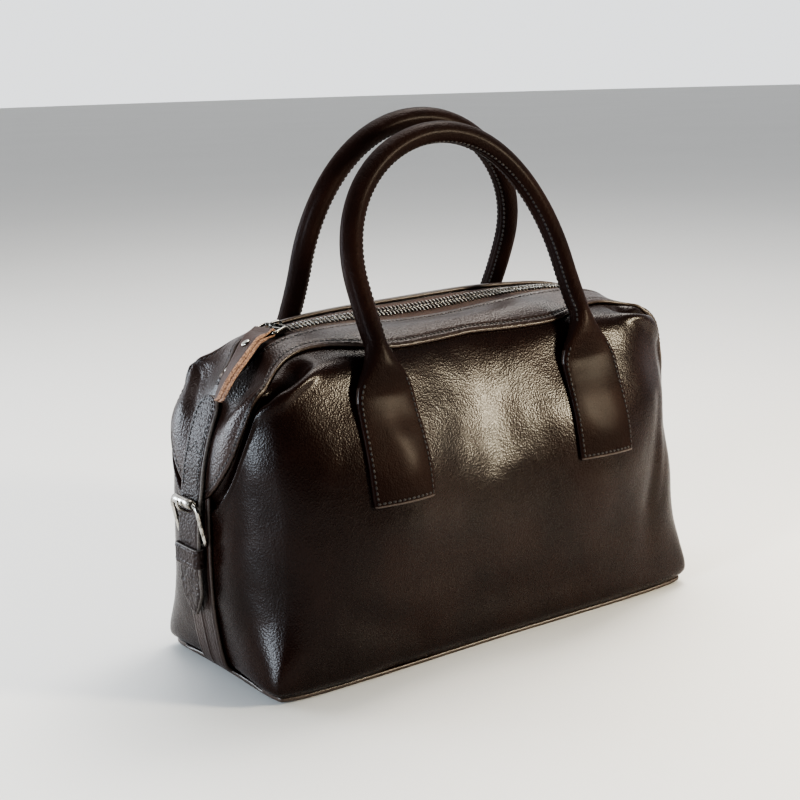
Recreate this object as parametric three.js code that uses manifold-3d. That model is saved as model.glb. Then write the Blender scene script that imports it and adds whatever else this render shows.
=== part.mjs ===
// A soft leather handbag: a boxy body with a draped zip yoke, two rolled handles and a buckled strap on
// each end.
// Millimetres, +Z up. The origin is the middle of the base, X runs along the bag and -Y is its front.
import * as THREE from 'three';
import { mergeVertices } from 'three/addons/utils/BufferGeometryUtils.js';
import Module from 'manifold-3d';

const wasm = await Module();
wasm.setup();

const { clamp, lerp, smoothstep, degToRad } = THREE.MathUtils;

// Leather thicknesses, and the small gap between a piece and what it is sewn or laid on
const GAP = 0.45;
const BODY_WALL = 2.0;
const BASE_THICK = 2.3;
const YOKE_THICK = 2.2;
const STRIP_THICK = 2.2;
const STRAP_THICK = 2.6;
const TAPE_THICK = 1.0;
const LAP = 0.1; // how far parts of one casting run into each other
const MERGE = 1e-4; // points closer than this are one

// Levels of the body from the hem to the zip slot. A row says where the outline crosses the side's middle
// (y, z), the corner (x, y, z) and the end's middle (x, z), and how far the corner is rounded.
const LEVELS = [
  // sideY, sideZ, cornerX, cornerY, cornerZ, endX, endZ, round
  [56.5, 2.75, 145.0, 55.5, 4.6, 146.5, 6.8, 6.0], // hem
  [60.5, 12.0, 147.5, 58.0, 12.5, 151.0, 14.5, 9.0], // heel
  [63.5, 45.0, 140.0, 55.0, 45.0, 155.5, 46.0, 20.0], // lower side
  [64.0, 85.0, 138.0, 53.0, 86.0, 155.5, 84.0, 24.0], // belly
  [58.0, 122.0, 138.0, 50.0, 126.0, 153.5, 111.0, 22.0], // upper side
  [48.0, 150.0, 136.5, 45.0, 155.0, 150.0, 127.0, 16.0], // shoulder
  [37.0, 170.0, 127.0, 41.0, 166.0, 145.5, 140.0, 12.0], // ear
  [26.0, 180.0, 127.0, 26.0, 166.0, 141.0, 150.0, 10.0], // under the yoke
  [14.0, 186.0, 125.0, 13.0, 170.0, 138.5, 157.5, 8.0], // mouth of the body panels
  [9.5, 187.4, 124.5, 9.0, 171.5, 136.5, 162.0, 7.0], // zip slot
];
const HEM = 0;
const BELLY = 3;
const SLOT = 9;
const SIDE_REACH = 0.36; // how far the side's middle stays straight, as a share of the corner's x
const SIDE_DROP = 2.9; // how late the outline falls towards the corner
const END_DROP = 2.2; // steepest start of the end's outline, as a share of its whole fall
const CORNER_PULL = 0.85;
const END_FLAT = 0.45;
const PROBE = 0.05; // step in levels for slopes along the surface
const SOLVE_STEPS = 40;
const FACE_PASSES = 5;

// Places round the body: 0 the front's middle, 2 the right end's middle, 4 the back's middle and 6 the left
// end's middle
const FRONT = 0;
const BACK = 4;
const ROUND = 8;
const SEAM_TRIM = 0.004; // the two panels stop this short of the end's middle

// Lower edge of the yoke: a place from 0, the side's middle, over 1, the corner, to 2, the end's middle, and
// its level
const YOKE_EDGE = [
  // place, level
  [0.0, 6.22],
  [0.2, 6.15],
  [0.38, 6.22],
  [0.5, 6.6],
  [0.6, 6.98],
  [0.7, 7.15],
  [0.8, 7.06],
  [0.9, 6.82],
  [0.97, 6.66],
  [1.03, 6.44],
  [1.07, 6.0],
  [1.11, 5.48],
  [1.17, 4.9],
  [1.28, 4.42],
  [1.4, 4.1],
  [1.58, 3.88],
  [1.78, 3.7],
  [2.0, 3.5],
];

// Sags of the top: the zip rolls over to the front, and its right end stays high
const SAGS = [
  // x, y, halfWidth, halfDepth, rise
  [-12, -12, 98, 16.5, -8.0],
  [35, 14, 75, 14, 1.4],
  [95, 4, 30, 24, 1.2],
];

// Valley of the leather beside the lobe's edge: its middle place and span, its depth, and how far below the
// edge it lies
const VALLEY = { place: 1.3, span: 0.26, depth: 3.0, below: 8.5, width: 8.5, start: 4.0 };
const TUCK = 0.9; // the panels lie this much lower under the yoke
const TUCK_REACH = 5.0;

// Folds of the four ears, the top corners of the body: a hollow by the yoke's edge and a bulge round it
const EAR_FOLDS = [
  // x, y, z, radius, push outwards
  [124, 35, 166, 9.0, -4.5],
  [112, 42, 166, 12.0, 1.5],
  [137, 43, 151, 12.0, 1.5],
];
const EAR_START = 18.0;
const EAR_NORMAL = new THREE.Vector3(0.35, 0.4, 0.85).normalize();

// Broad dents of the two faces, pushed in along the leather's normal
const DENTS = [
  // face (-1 front, 1 back), x, z, halfWidth, halfHeight, depth
  [-1, 18, 132, 62, 40, 4.0],
  [-1, 112, 60, 16, 50, 2.0],
  [1, 0, 132, 62, 40, 3.0],
];

// Mesh fineness of the leather
const QUARTER_STEPS = 15;
const CORNER_CROWDING = 0.45;
const PANEL_ROWS = [0, 0.4, 1, 1.7, 2.5, 3.3, 4.1, 4.8, 5.3, 5.7, 6, 6.3, 6.6, 6.9, 7.2, 7.6, 8]; // levels
const YOKE_ROWS = 8;

// Base plate: a flat middle with its ends lifted a little off the ground
const BASE_OUTSET = 1.0;
const BASE_FLAT = 100;
const BASE_END = 146;
const BASE_HALF = 55;
const LIFT_CORNER = 1.95;
const LIFT_END = 3.7;
// Columns of the plate, as places from the middle of its long side; past the last the end is straight
const BASE_PLACES = [0, 0.25, 0.48, 0.68, 0.82, 0.91, 0.97, 1.03, 1.12, 1.4];
const BASE_ACROSS = 4;

// Rolled handles: a flat tab sewn to the face turns into a round tube that arches over the zip
const TUBE = 12.2;
const HANDLE_ROWS = [
  // z, width, thick, square, lift of the section's centre off the leather
  [97.5, 39.5, 2.6, 6.0, 1.8],
  [112, 40.0, 2.6, 6.0, 1.8],
  [128, 39.5, 2.8, 6.0, 1.9],
  [142, 38.5, 3.2, 5.0, 2.1],
  [152, 37.0, 4.6, 4.0, 3.0],
  [160, 31.0, 7.4, 3.0, 4.7],
  [167, 22.0, 10.2, 2.4, 6.6],
];
const LEG_FOOT = 177; // the round leg starts at this height
const LEG_FOOT_Y = 46.8;
const ARCH_RISE = 76; // height of the arch above the straight legs
const HANDLES = [
  // face (-1 front, 1 back), half the span, sideways shift, height and depth of the tube's middle at the top,
  // and how fast the legs lean inwards
  { name: 'handle_front', face: -1, halfSpan: 71.5, shift: -0.5, top: 282, topY: 10, leaning: 1.6 },
  { name: 'handle_back', face: 1, halfSpan: 73.5, shift: 5.5, top: 289, topY: 16, leaning: 2.2 },
];
const TUBE_SIDES = 12;
const LEG_STEPS = 3;
const ARCH_STEPS = 9;
const CONFORM_FADE = [150, 167];

// Strip over the end's seam, and the strap that is sewn to the lobe and hangs over the strip
const STRIP_HALF = 12.5;
const STRIP_FOOT = 0.12;
const STRIP_HEAD = 3.5;
const STRIP_SHORT = 0.05; // the strip's head stops this short of the lobe, in levels
const STRIP_ROWS = 10;
const STRIP_COLUMNS = [-1, -0.5, 0, 0.5, 1]; // shares of the half width
const STRAP_HALF = 10;
const STRAP_TOP = 153;
const STRAP_TIP = 39;
const STRAP_TIP_LENGTH = 13;
const TIP_CURVE = 0.7;
const TIP_BLUNT = 0.12;
const TIP_CUTS = [0, 0.12, 0.35, 0.65]; // sections of the tip, as shares of its length
const TOP_CUTS = [0.5, 0.2, 0.06, 0]; // sections of the round top, as shares of the half width
const STRAP_ROWS = [
  // z, distance of the strap's inner face from the body
  [39, 5.0],
  [55, 5.3],
  [72, 5.6],
  [88, 5.3],
  [98, 4.6],
  [108, 3.75],
  [120, 3.7],
  [153, 3.6],
];
const STRAP_STEPS = 16;

// Roller buckle: the strap runs behind the roller and in front of the heel bar
const BUCKLE_TOP = { z: 100, off: 9.9 };
const BUCKLE_HEEL = { z: 78, off: 4.05 };
const BUCKLE_HALF = 13.4;
const BUCKLE_CORNER = 4.0;
const BUCKLE_WIRE = 1.05;
const ROLLER = { radius: 2.5, bore: 1.5, half: 9.4, sides: 14 };
const WIRE_SIDES = 8;
const PRONG_RADIUS = 0.85;
const PRONG_SIDES = 6;
const PRONG_STEPS = 9;
const PRONG_PATH = [
  // z, distance from the body
  [80.6, 4.05],
  [89.0, 4.05],
  [92.6, 5.2],
  [95.0, 8.6],
  [96.6, 12.0],
  [98.6, 13.65],
  [101.2, 13.75],
];
const PRONG_HOLE = { low: 90.6, high: 96.2, half: 1.3, reach: 20 };
const KEEPER = { low: 66.4, high: 76.2, wall: 1.7, clear: 0.45, beside: 0.65, round: 1.6 };

// Zip: teeth along the slot, a slider near the left end, a stop at each end
const TEETH_HALF = 3.0;
const TEETH_LOW = 0.5;
const TEETH_HIGH = 2.3;
const TEETH_END = 128.6;
const TEETH_STEPS = 44;
const TAPE_LEVEL = 8.2;
const TAPE_SINK = 0.25;
const TAPE_STEPS = 28;
const TAPE_END = 135.8;
const STOP = { x: 131.8, length: 4.4, half: 3.2, low: 0.5, high: 2.9 };
const SLIDER_X = -103;
const SLIDER = { length: 11, half: 4.5, cheek: 3.4, roof: 2.65, top: 3.9 };
const BRIDGE = { half: 1.3, length: 8.0, under: 2.5, thick: 1.3 };

// Zip pull: a link through the bridge, and a strip of leather folded double through the link
const LINK = { wire: 0.85, half: 7.8, length: 9.6, corner: 1.8, clear: 0.4 };
const PULL_LEAN = degToRad(15); // the pull lies over to the front
const PULL_DROP = degToRad(2.5); // and falls away from the zip's slope
const TAB = { half: 6.4, layer: 2.2, length: 49, bend: degToRad(48), fold: 1.2 };
const TAB_STEPS = 8;
const EYE_SIDES = 8;
const HEAD_TURNS = [60, 30, 0, -30, -60]; // degrees round the link's far bar
const RIVET = { along: 15, half: 2.6, height: 0.9, sides: 12, clear: 0.3 };
const RIVET_PROFILE = [
  // share of the half width, share of the height
  [0, 0],
  [1, 0],
  [0.75, 0.7],
  [0, 1],
];

// Colours and finish
const FINISH = {
  leather: { color: 0x2b1c18, roughness: 0.4, metalness: 0 },
  trim: { color: 0x33231d, roughness: 0.45, metalness: 0 },
  strap: { color: 0x30221e, roughness: 0.42, metalness: 0 },
  pull: { color: 0x4a2f26, roughness: 0.5, metalness: 0 },
  tape: { color: 0x4a2a1e, roughness: 0.9, metalness: 0 },
  metal: { color: 0x8d8a82, roughness: 0.3, metalness: 1 },
};

// A smooth curve through the rows of a table, read at x of its first column
function tableValue(rows, x, column = 1) {
  const last = rows.length - 1;
  let i = 0;
  while (i < last - 1 && x > rows[i + 1][0]) i += 1;
  const slope = (k) => {
    const a = rows[Math.max(k - 1, 0)];
    const b = rows[Math.min(k + 1, last)];
    return (b[column] - a[column]) / (b[0] - a[0]);
  };
  const [x0, x1] = [rows[i][0], rows[i + 1][0]];
  const span = x1 - x0;
  const t = clamp((x - x0) / span, 0, 1);
  return hermite(rows[i][column], span * slope(i), rows[i + 1][column], span * slope(i + 1), t);
}

// The value between low and high at which a rising function reaches its target
function solve(rising, target, low, high) {
  let [a, b] = [low, high];
  for (let i = 0; i < SOLVE_STEPS; i += 1) {
    const middle = (a + b) / 2;
    if (rising(middle) < target) a = middle;
    else b = middle;
  }
  return (a + b) / 2;
}

function bell(x) {
  return Math.exp(-2 * x * x);
}

// Body surface

function bezier(p0, p1, p2, p3, t) {
  const s = 1 - t;
  return s ** 3 * p0 + 3 * s * s * t * p1 + 3 * s * t * t * p2 + t ** 3 * p3;
}

// A cubic from one value and slope to another
function hermite(p0, slope0, p1, slope1, t) {
  const rise = t * t * (3 - 2 * t);
  return lerp(p0, p1, rise) + slope0 * t * (1 - t) ** 2 - slope1 * t * t * (1 - t);
}

function levelColumns(level) {
  const i = clamp(Math.floor(level), 0, LEVELS.length - 2);
  const t = level - i;
  return LEVELS[i].map((p1, column) => {
    const p2 = LEVELS[i + 1][column];
    const p0 = i > 0 ? LEVELS[i - 1][column] : 2 * p1 - p2;
    const p3 = i + 2 < LEVELS.length ? LEVELS[i + 2][column] : 2 * p2 - p1;
    const rise = (p2 - p0) * t;
    const bend = (2 * p0 - 5 * p1 + 4 * p2 - p3) * t ** 2;
    const twist = (3 * p1 - p0 - 3 * p2 + p3) * t ** 3;
    return 0.5 * (2 * p1 + rise + bend + twist);
  });
}

// A point of the quarter with x and y positive, at a place from 0, the side's middle, to 2, the end's middle
function quarterPoint(place, level) {
  const [sideY, sideZ, cornerX, cornerY, cornerZ, endX, endZ, round] = levelColumns(level);
  const pull = CORNER_PULL * round;
  if (place <= 1) {
    return new THREE.Vector3(
      bezier(0, SIDE_REACH * cornerX, cornerX - pull, cornerX, place),
      bezier(sideY, sideY, cornerY + pull, cornerY, place),
      lerp(sideZ, cornerZ, place ** SIDE_DROP),
    );
  }
  const t = place - 1;
  const steepest = END_DROP * Math.abs(endZ - cornerZ);
  const slope = clamp(SIDE_DROP * (cornerZ - sideZ), -steepest, steepest);
  return new THREE.Vector3(
    bezier(cornerX, cornerX + pull, endX, endX, t),
    bezier(cornerY, cornerY - pull, END_FLAT * cornerY, 0, t),
    hermite(cornerZ, slope, endZ, 0, t),
  );
}

function quarterPlace(around) {
  const turn = ((around % ROUND) + ROUND) % ROUND;
  const quadrant = Math.floor(turn / 2);
  const into = turn - 2 * quadrant;
  return { quadrant, place: quadrant % 2 === 0 ? into : 2 - into };
}

function plainPoint(around, level) {
  const { quadrant, place } = quarterPlace(around);
  const point = quarterPoint(place, level);
  if (quadrant > 1) point.x *= -1;
  if (quadrant === 0 || quadrant === 3) point.y *= -1;
  SAGS.forEach(([x, y, halfWidth, halfDepth, rise]) => {
    point.z += rise * bell(Math.hypot((point.x - x) / halfWidth, (point.y - y) / halfDepth));
  });
  return point;
}

// A point of the front or back at x, on a level of the plain surface
function sidePoint(face, x, level) {
  const place = solve((w) => quarterPoint(w, level).x, Math.abs(x), 0, 2);
  const turn = Math.sign(x || 1) * place;
  return plainPoint(face < 0 ? FRONT + turn : BACK - turn, level);
}

// Outward normal of a surface given as a function of the place around and the level
function outward(surface, around, level) {
  const step = 0.01;
  const across = surface(around + step, level).sub(surface(around - step, level));
  const up = surface(around, Math.min(level + step, SLOT)).sub(surface(around, Math.max(level - step, HEM)));
  return across.cross(up).normalize();
}

// Distance along the leather from the yoke's edge down to a point, negative under the yoke
function belowEdge(around, level) {
  const edge = tableValue(YOKE_EDGE, quarterPlace(around).place);
  const foot = Math.min(level, edge);
  const stretch = plainPoint(around, foot + PROBE).distanceTo(plainPoint(around, foot - PROBE)) / (2 * PROBE);
  return (edge - level) * stretch;
}

// How far the leather lies in or out along its normal beside the yoke's edge
function seamHeight(around, below) {
  if (below <= 0) return -TUCK * smoothstep(-below, 0, TUCK_REACH);
  const across = smoothstep(below, 0, VALLEY.start) * bell((below - VALLEY.below) / VALLEY.width);
  return -VALLEY.depth * across * bell((quarterPlace(around).place - VALLEY.place) / VALLEY.span);
}

// Push of the ears' folds at a point of the plain surface; a bulge starts clear of the yoke
function earPush(point, below) {
  const mirrored = new THREE.Vector3(Math.abs(point.x), Math.abs(point.y), point.z);
  const clear = smoothstep(below, 0, EAR_START);
  const size = EAR_FOLDS.reduce((sum, [x, y, z, radius, push]) => {
    const share = push > 0 ? clear : 1;
    return sum + share * push * bell(mirrored.distanceTo(new THREE.Vector3(x, y, z)) / radius);
  }, 0);
  const outwards = new THREE.Vector3(Math.sign(point.x), Math.sign(point.y), 1).multiply(EAR_NORMAL);
  return outwards.multiplyScalar(size);
}

function dentDepth(point) {
  return DENTS.reduce((sum, [face, x, z, halfWidth, halfHeight, depth]) => {
    if (Math.sign(point.y) !== face) return sum;
    return sum + depth * bell(Math.hypot((point.x - x) / halfWidth, (point.z - z) / halfHeight));
  }, 0);
}

function bodyPoint(around, level) {
  const point = plainPoint(around, level);
  const below = belowEdge(around, level);
  const push = seamHeight(around, below) - dentDepth(point);
  const fold = earPush(point, below);
  return point.addScaledVector(outward(plainPoint, around, level), push).add(fold);
}

// Depth of the front or back face at a place given by x and z
function faceY(face, x, z) {
  const middle = face < 0 ? FRONT : BACK;
  const turn = -face * Math.sign(x || 1);
  let place = Math.abs(x) / levelColumns(BELLY)[2];
  let level = BELLY;
  for (let i = 0; i < FACE_PASSES; i += 1) {
    level = solve((v) => bodyPoint(middle + turn * place, v).z, z, 1, SLOT);
    place = solve((w) => Math.abs(bodyPoint(middle + turn * w, level).x), Math.abs(x), 0, 1);
  }
  return bodyPoint(middle + turn * place, level).y;
}

// The end's middle line: its x and outward normal at a height
function endFace(z) {
  const level = solve((v) => plainPoint(2, v).z, z, HEM, SLOT);
  return { point: plainPoint(2, level), normal: outward(plainPoint, 2, level) };
}

// A point beside the end's middle line, at a height, off the leather by a distance
function endPoint(side, y, z, off) {
  const { point, normal } = endFace(z);
  return new THREE.Vector3(side * (point.x + normal.x * off), y, point.z + normal.z * off);
}

// The zip's middle line between the lips of its slot: a point at x, the directions along it towards +X and
// across it towards +Y, and the normal
function zipFrame(x) {
  const middle = (at) => sidePoint(-1, at, SLOT).add(sidePoint(1, at, SLOT)).multiplyScalar(0.5);
  const step = 0.2;
  const along = middle(x + step).sub(middle(x - step)).normalize();
  const normal = along.clone().cross(sidePoint(1, x, SLOT).sub(sidePoint(-1, x, SLOT))).normalize();
  const across = normal.clone().cross(along);
  return { point: middle(x), along, across, normal };
}

// Solids

function signedVolume(points, faces) {
  const cross = new THREE.Vector3();
  return faces.reduce((sum, [a, b, c]) => {
    return sum + points[a].dot(cross.crossVectors(points[b], points[c])) / 6;
  }, 0);
}

function solid(points, faces) {
  const outwardFaces = signedVolume(points, faces) > 0 ? faces : faces.map(([a, b, c]) => [a, c, b]);
  const geometry = new THREE.BufferGeometry();
  geometry.setAttribute('position', new THREE.Float32BufferAttribute(points.flatMap((p) => p.toArray()), 3));
  geometry.setIndex(outwardFaces.flat());
  return geometry;
}

// A wall between two grids of points, each a list of columns; a ring's last column meets its first
function wall(outer, inner, ring = false) {
  const columns = outer.length;
  const rows = outer[0].length;
  const points = [...outer.flat(), ...inner.flat()];
  const at = (layer, i, j) => layer * columns * rows + (i % columns) * rows + j;
  const faces = [];
  const quad = (a, b, c, d) => {
    const alongAC = points[a].distanceTo(points[c]) <= points[b].distanceTo(points[d]);
    if (alongAC) faces.push([a, b, c], [a, c, d]);
    else faces.push([a, b, d], [b, c, d]);
  };
  const spans = ring ? columns : columns - 1;
  for (let i = 0; i < spans; i += 1) {
    for (let j = 0; j < rows - 1; j += 1) {
      quad(at(0, i, j), at(0, i + 1, j), at(0, i + 1, j + 1), at(0, i, j + 1));
      quad(at(1, i, j), at(1, i, j + 1), at(1, i + 1, j + 1), at(1, i + 1, j));
    }
    quad(at(0, i, 0), at(1, i, 0), at(1, i + 1, 0), at(0, i + 1, 0));
    quad(at(0, i, rows - 1), at(0, i + 1, rows - 1), at(1, i + 1, rows - 1), at(1, i, rows - 1));
  }
  if (!ring) {
    for (let j = 0; j < rows - 1; j += 1) {
      const end = columns - 1;
      quad(at(0, 0, j), at(0, 0, j + 1), at(1, 0, j + 1), at(1, 0, j));
      quad(at(0, end, j), at(1, end, j), at(1, end, j + 1), at(0, end, j + 1));
    }
  }
  return solid(points, faces);
}

// A solid through a row of closed sections, with flat ends, or closed on itself as a loop
function loft(sections, loop = false) {
  const count = sections[0].length;
  const points = sections.flat();
  const faces = [];
  const spans = loop ? sections.length : sections.length - 1;
  for (let i = 0; i < spans; i += 1) {
    const here = i * count;
    const next = ((i + 1) % sections.length) * count;
    for (let k = 0; k < count; k += 1) {
      const l = (k + 1) % count;
      faces.push([here + k, here + l, next + l], [here + k, next + l, next + k]);
    }
  }
  if (!loop) {
    const end = (sections.length - 1) * count;
    for (let k = 1; k < count - 1; k += 1) {
      faces.push([0, k + 1, k], [end, end + k, end + k + 1]);
    }
  }
  return solid(points, faces);
}

// A round section of a bar or wire
function roundSection(centre, axisA, axisB, radius, sides) {
  return Array.from({ length: sides }, (_, k) => {
    const angle = (2 * Math.PI * (k + 0.5)) / sides;
    return centre
      .clone()
      .addScaledVector(axisA, radius * Math.cos(angle))
      .addScaledVector(axisB, radius * Math.sin(angle));
  });
}

// A wire bent along a plane path; normal is the plane's normal
function wire(path, normal, radius, sides, loop) {
  const count = path.length;
  const sections = path.map((centre, i) => {
    const before = path[loop ? (i + count - 1) % count : Math.max(i - 1, 0)];
    const after = path[loop ? (i + 1) % count : Math.min(i + 1, count - 1)];
    const side = after.clone().sub(before).cross(normal).normalize();
    return roundSection(centre, side, normal, radius, sides);
  });
  return loft(sections, loop);
}

// Points of a rectangle with rounded corners, centred on the origin of a plane, three to a corner
function roundedRectangle(halfA, halfB, radius) {
  const corners = [
    [1, 1, 0],
    [-1, 1, 90],
    [-1, -1, 180],
    [1, -1, 270],
  ];
  return corners.flatMap(([signA, signB, start]) =>
    [0, 45, 90].map((turn) => {
      const angle = degToRad(start + turn);
      return [
        signA * (halfA - radius) + radius * Math.cos(angle),
        signB * (halfB - radius) + radius * Math.sin(angle),
      ];
    }),
  );
}

function boxSolid(x0, x1, y0, y1, z0, z1) {
  const geometry = new THREE.BoxGeometry(x1 - x0, y1 - y0, z1 - z0);
  return geometry.translate((x0 + x1) / 2, (y0 + y1) / 2, (z0 + z1) / 2);
}

function toManifold(geometry) {
  const bare = geometry.clone();
  bare.deleteAttribute('normal');
  bare.deleteAttribute('uv');
  const merged = mergeVertices(bare, MERGE);
  return new wasm.Manifold(
    new wasm.Mesh({
      numProp: 3,
      vertProperties: new Float32Array(merged.attributes.position.array),
      triVerts: new Uint32Array(merged.index.array),
    }),
  );
}

function fromManifold(manifold) {
  const mesh = manifold.getMesh();
  const geometry = new THREE.BufferGeometry();
  geometry.setAttribute('position', new THREE.BufferAttribute(new Float32Array(mesh.vertProperties), 3));
  geometry.setIndex(new THREE.BufferAttribute(new Uint32Array(mesh.triVerts), 1));
  return geometry;
}

function cut(geometry, tool) {
  return fromManifold(toManifold(geometry).subtract(toManifold(tool)));
}

function join(...geometries) {
  return fromManifold(geometries.map(toManifold).reduce((whole, piece) => whole.add(piece)));
}

// Leather body

// Places from 0 to an end place, crowded round the corner
function crowdedPlaces(steps, end) {
  return Array.from({ length: steps + 1 }, (_, i) => {
    const s = i / steps;
    return (2 * s + (CORNER_CROWDING / Math.PI) * Math.sin(2 * Math.PI * s)) * (end / 2);
  });
}

// Places that start at 0, and the same places the other way round
function bothWays(places) {
  return [...places.slice(1).reverse().map((place) => -place), ...places];
}

function bodyPanel(middle) {
  const outer = [];
  const inner = [];
  bothWays(crowdedPlaces(QUARTER_STEPS, 2 - SEAM_TRIM)).forEach((place) => {
    const column = PANEL_ROWS.map((level) => bodyPoint(middle + place, level));
    outer.push(column);
    inner.push(
      column.map((point, j) =>
        point.clone().addScaledVector(outward(bodyPoint, middle + place, PANEL_ROWS[j]), -BODY_WALL),
      ),
    );
  });
  return wall(outer, inner);
}

function baseLift(x, y) {
  const ramp = smoothstep(Math.abs(x), BASE_FLAT, BASE_END);
  return ramp * lerp(LIFT_END, LIFT_CORNER, Math.min((y / BASE_HALF) ** 2, 1));
}

function basePanel() {
  const outer = [];
  const inner = [];
  bothWays(BASE_PLACES).forEach((place) => {
    const hem = plainPoint(place, HEM);
    const outset = outward(plainPoint, place, HEM).setZ(0).setLength(BASE_OUTSET);
    const rim = hem.clone().add(outset);
    const column = Array.from({ length: BASE_ACROSS + 1 }, (_, j) => {
      const y = rim.y * (1 - (2 * j) / BASE_ACROSS);
      const onRim = j === 0 || j === BASE_ACROSS;
      const z = onRim ? hem.z - GAP : baseLift(rim.x, y) + BASE_THICK;
      return new THREE.Vector3(rim.x, y, onRim ? Math.max(z, BASE_THICK) : z);
    });
    outer.push(column);
    inner.push(column.map((point) => point.clone().setZ(point.z - BASE_THICK)));
  });
  return wall(outer, inner);
}

function zipYoke() {
  const quarter = crowdedPlaces(QUARTER_STEPS, 2);
  const places = [0, 2, 4, 6].flatMap((start) =>
    quarter.slice(0, -1).map((place, i) => {
      return start + (start % 4 === 0 ? place : 2 - quarter[QUARTER_STEPS - i]);
    }),
  );
  const grid = (off) =>
    places.map((around) => {
      const edge = tableValue(YOKE_EDGE, quarterPlace(around).place);
      return Array.from({ length: YOKE_ROWS + 1 }, (_, j) => {
        const level = lerp(edge, SLOT, j / YOKE_ROWS);
        return plainPoint(around, level).addScaledVector(outward(plainPoint, around, level), off);
      });
    });
  return wall(grid(GAP + YOKE_THICK), grid(GAP), true);
}

// Handles

// A flat or round section: square is 2 for an ellipse and more for a flat strip
function handleSection(centre, across, normal, width, thick, square) {
  return Array.from({ length: TUBE_SIDES }, (_, k) => {
    const angle = (2 * Math.PI * (k + 0.5)) / TUBE_SIDES;
    const swell = (value) => Math.sign(value) * Math.abs(value) ** (2 / square);
    return centre
      .clone()
      .addScaledVector(across, (width / 2) * swell(Math.cos(angle)))
      .addScaledVector(normal, (thick / 2) * swell(Math.sin(angle)));
  });
}

// Sections of the left half of a handle, side -1, or of its right half, from the tab's foot to the arch's top
function halfHandle({ face, halfSpan, shift, top, topY, leaning }, side) {
  const legX = shift + side * halfSpan;
  const across = new THREE.Vector3(-side, 0, 0);
  const sections = HANDLE_ROWS.map(([z, width, thick, square, lift]) => {
    const slope = faceY(face, legX, z + 1) - faceY(face, legX, z - 1);
    const normal = new THREE.Vector3(0, 2 * face, -face * slope).normalize();
    const foot = new THREE.Vector3(legX, faceY(face, legX, z), z);
    const centre = foot.clone().addScaledVector(normal, lift);
    const section = handleSection(centre, across, normal, width, thick, square);
    const conform = 1 - smoothstep(z, ...CONFORM_FADE);
    section.forEach((point) => {
      point.y += conform * (faceY(face, point.x, z) - foot.y);
    });
    return section;
  });
  const leanY = (z) => face * lerp(topY, LEG_FOOT_Y, ((top - z) / (top - LEG_FOOT)) ** leaning);
  const arch = top - ARCH_RISE;
  const tubeSection = (x, z, slant) => {
    const up = new THREE.Vector3(0, leanY(z) - leanY(z - 1), 1).normalize();
    const normal = new THREE.Vector3(0, face * up.z, -face * up.y);
    const turned = across.clone().multiplyScalar(Math.cos(slant)).addScaledVector(up, -Math.sin(slant));
    sections.push(handleSection(new THREE.Vector3(x, leanY(z), z), turned, normal, TUBE, TUBE, 2));
  };
  for (let i = 0; i < LEG_STEPS; i += 1) {
    tubeSection(legX, lerp(LEG_FOOT, arch, i / LEG_STEPS), 0);
  }
  for (let i = 0; i <= ARCH_STEPS; i += 1) {
    const angle = (Math.PI / 2) * (i / ARCH_STEPS);
    const slant = Math.atan2(halfSpan * Math.sin(angle), ARCH_RISE * Math.cos(angle));
    tubeSection(shift + side * halfSpan * Math.cos(angle), arch + ARCH_RISE * Math.sin(angle), slant);
  }
  return sections;
}

function handle(spec) {
  const right = halfHandle(spec, 1).slice(0, -1);
  return loft([...halfHandle(spec, -1), ...right.reverse()]);
}

// End strip, strap, buckle and keeper; side is -1 for the left end and 1 for the right

// Place on the end where the leather is y away from the end's middle
function endPlace(y, level) {
  return solve((place) => -quarterPoint(place, level).y, -Math.abs(y), 1, 2);
}

function endStrip(side) {
  const grid = (off) =>
    STRIP_COLUMNS.map((share) => {
      const head = tableValue(YOKE_EDGE, endPlace(share * STRIP_HALF, STRIP_HEAD)) - STRIP_SHORT;
      return Array.from({ length: STRIP_ROWS + 1 }, (_, j) => {
        const level = lerp(STRIP_FOOT, head, j / STRIP_ROWS);
        const around = ROUND / 4 + Math.sign(share) * (2 - endPlace(share * STRIP_HALF, level));
        const point = plainPoint(around, level).addScaledVector(outward(plainPoint, around, level), off);
        return point.setX(side * point.x);
      });
    });
  return wall(grid(GAP + STRIP_THICK), grid(GAP));
}

// Half width of the strap at a height: round at the top, pointed at the tip
function strapHalf(z) {
  const fromTop = Math.min((STRAP_TOP - z) / STRAP_HALF, 1);
  const fromTip = Math.min((z - STRAP_TIP) / STRAP_TIP_LENGTH, 1);
  return STRAP_HALF * Math.max(Math.min(Math.sqrt(1 - (1 - fromTop) ** 2), fromTip ** TIP_CURVE), TIP_BLUNT);
}

function buckleStrap(side) {
  const tip = TIP_CUTS.map((share) => STRAP_TIP + share * STRAP_TIP_LENGTH);
  const top = TOP_CUTS.map((share) => STRAP_TOP - share * STRAP_HALF);
  const low = STRAP_TIP + STRAP_TIP_LENGTH;
  const high = STRAP_TOP - STRAP_HALF;
  const middle = Array.from({ length: STRAP_STEPS + 1 }, (_, i) => lerp(low, high, i / STRAP_STEPS));
  const sections = [...tip, ...middle, ...top].map((z) => {
    const inner = tableValue(STRAP_ROWS, z);
    const half = strapHalf(z);
    return [
      endPoint(side, -half, z, inner),
      endPoint(side, half, z, inner),
      endPoint(side, half, z, inner + STRAP_THICK),
      endPoint(side, -half, z, inner + STRAP_THICK),
    ];
  });
  const { low: from, high: to, half, reach } = PRONG_HOLE;
  const middleX = endPoint(side, 0, (from + to) / 2, 0).x;
  const hole = boxSolid(middleX - reach, middleX + reach, -half, half, from, to);
  return cut(loft(sections), hole);
}

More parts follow.
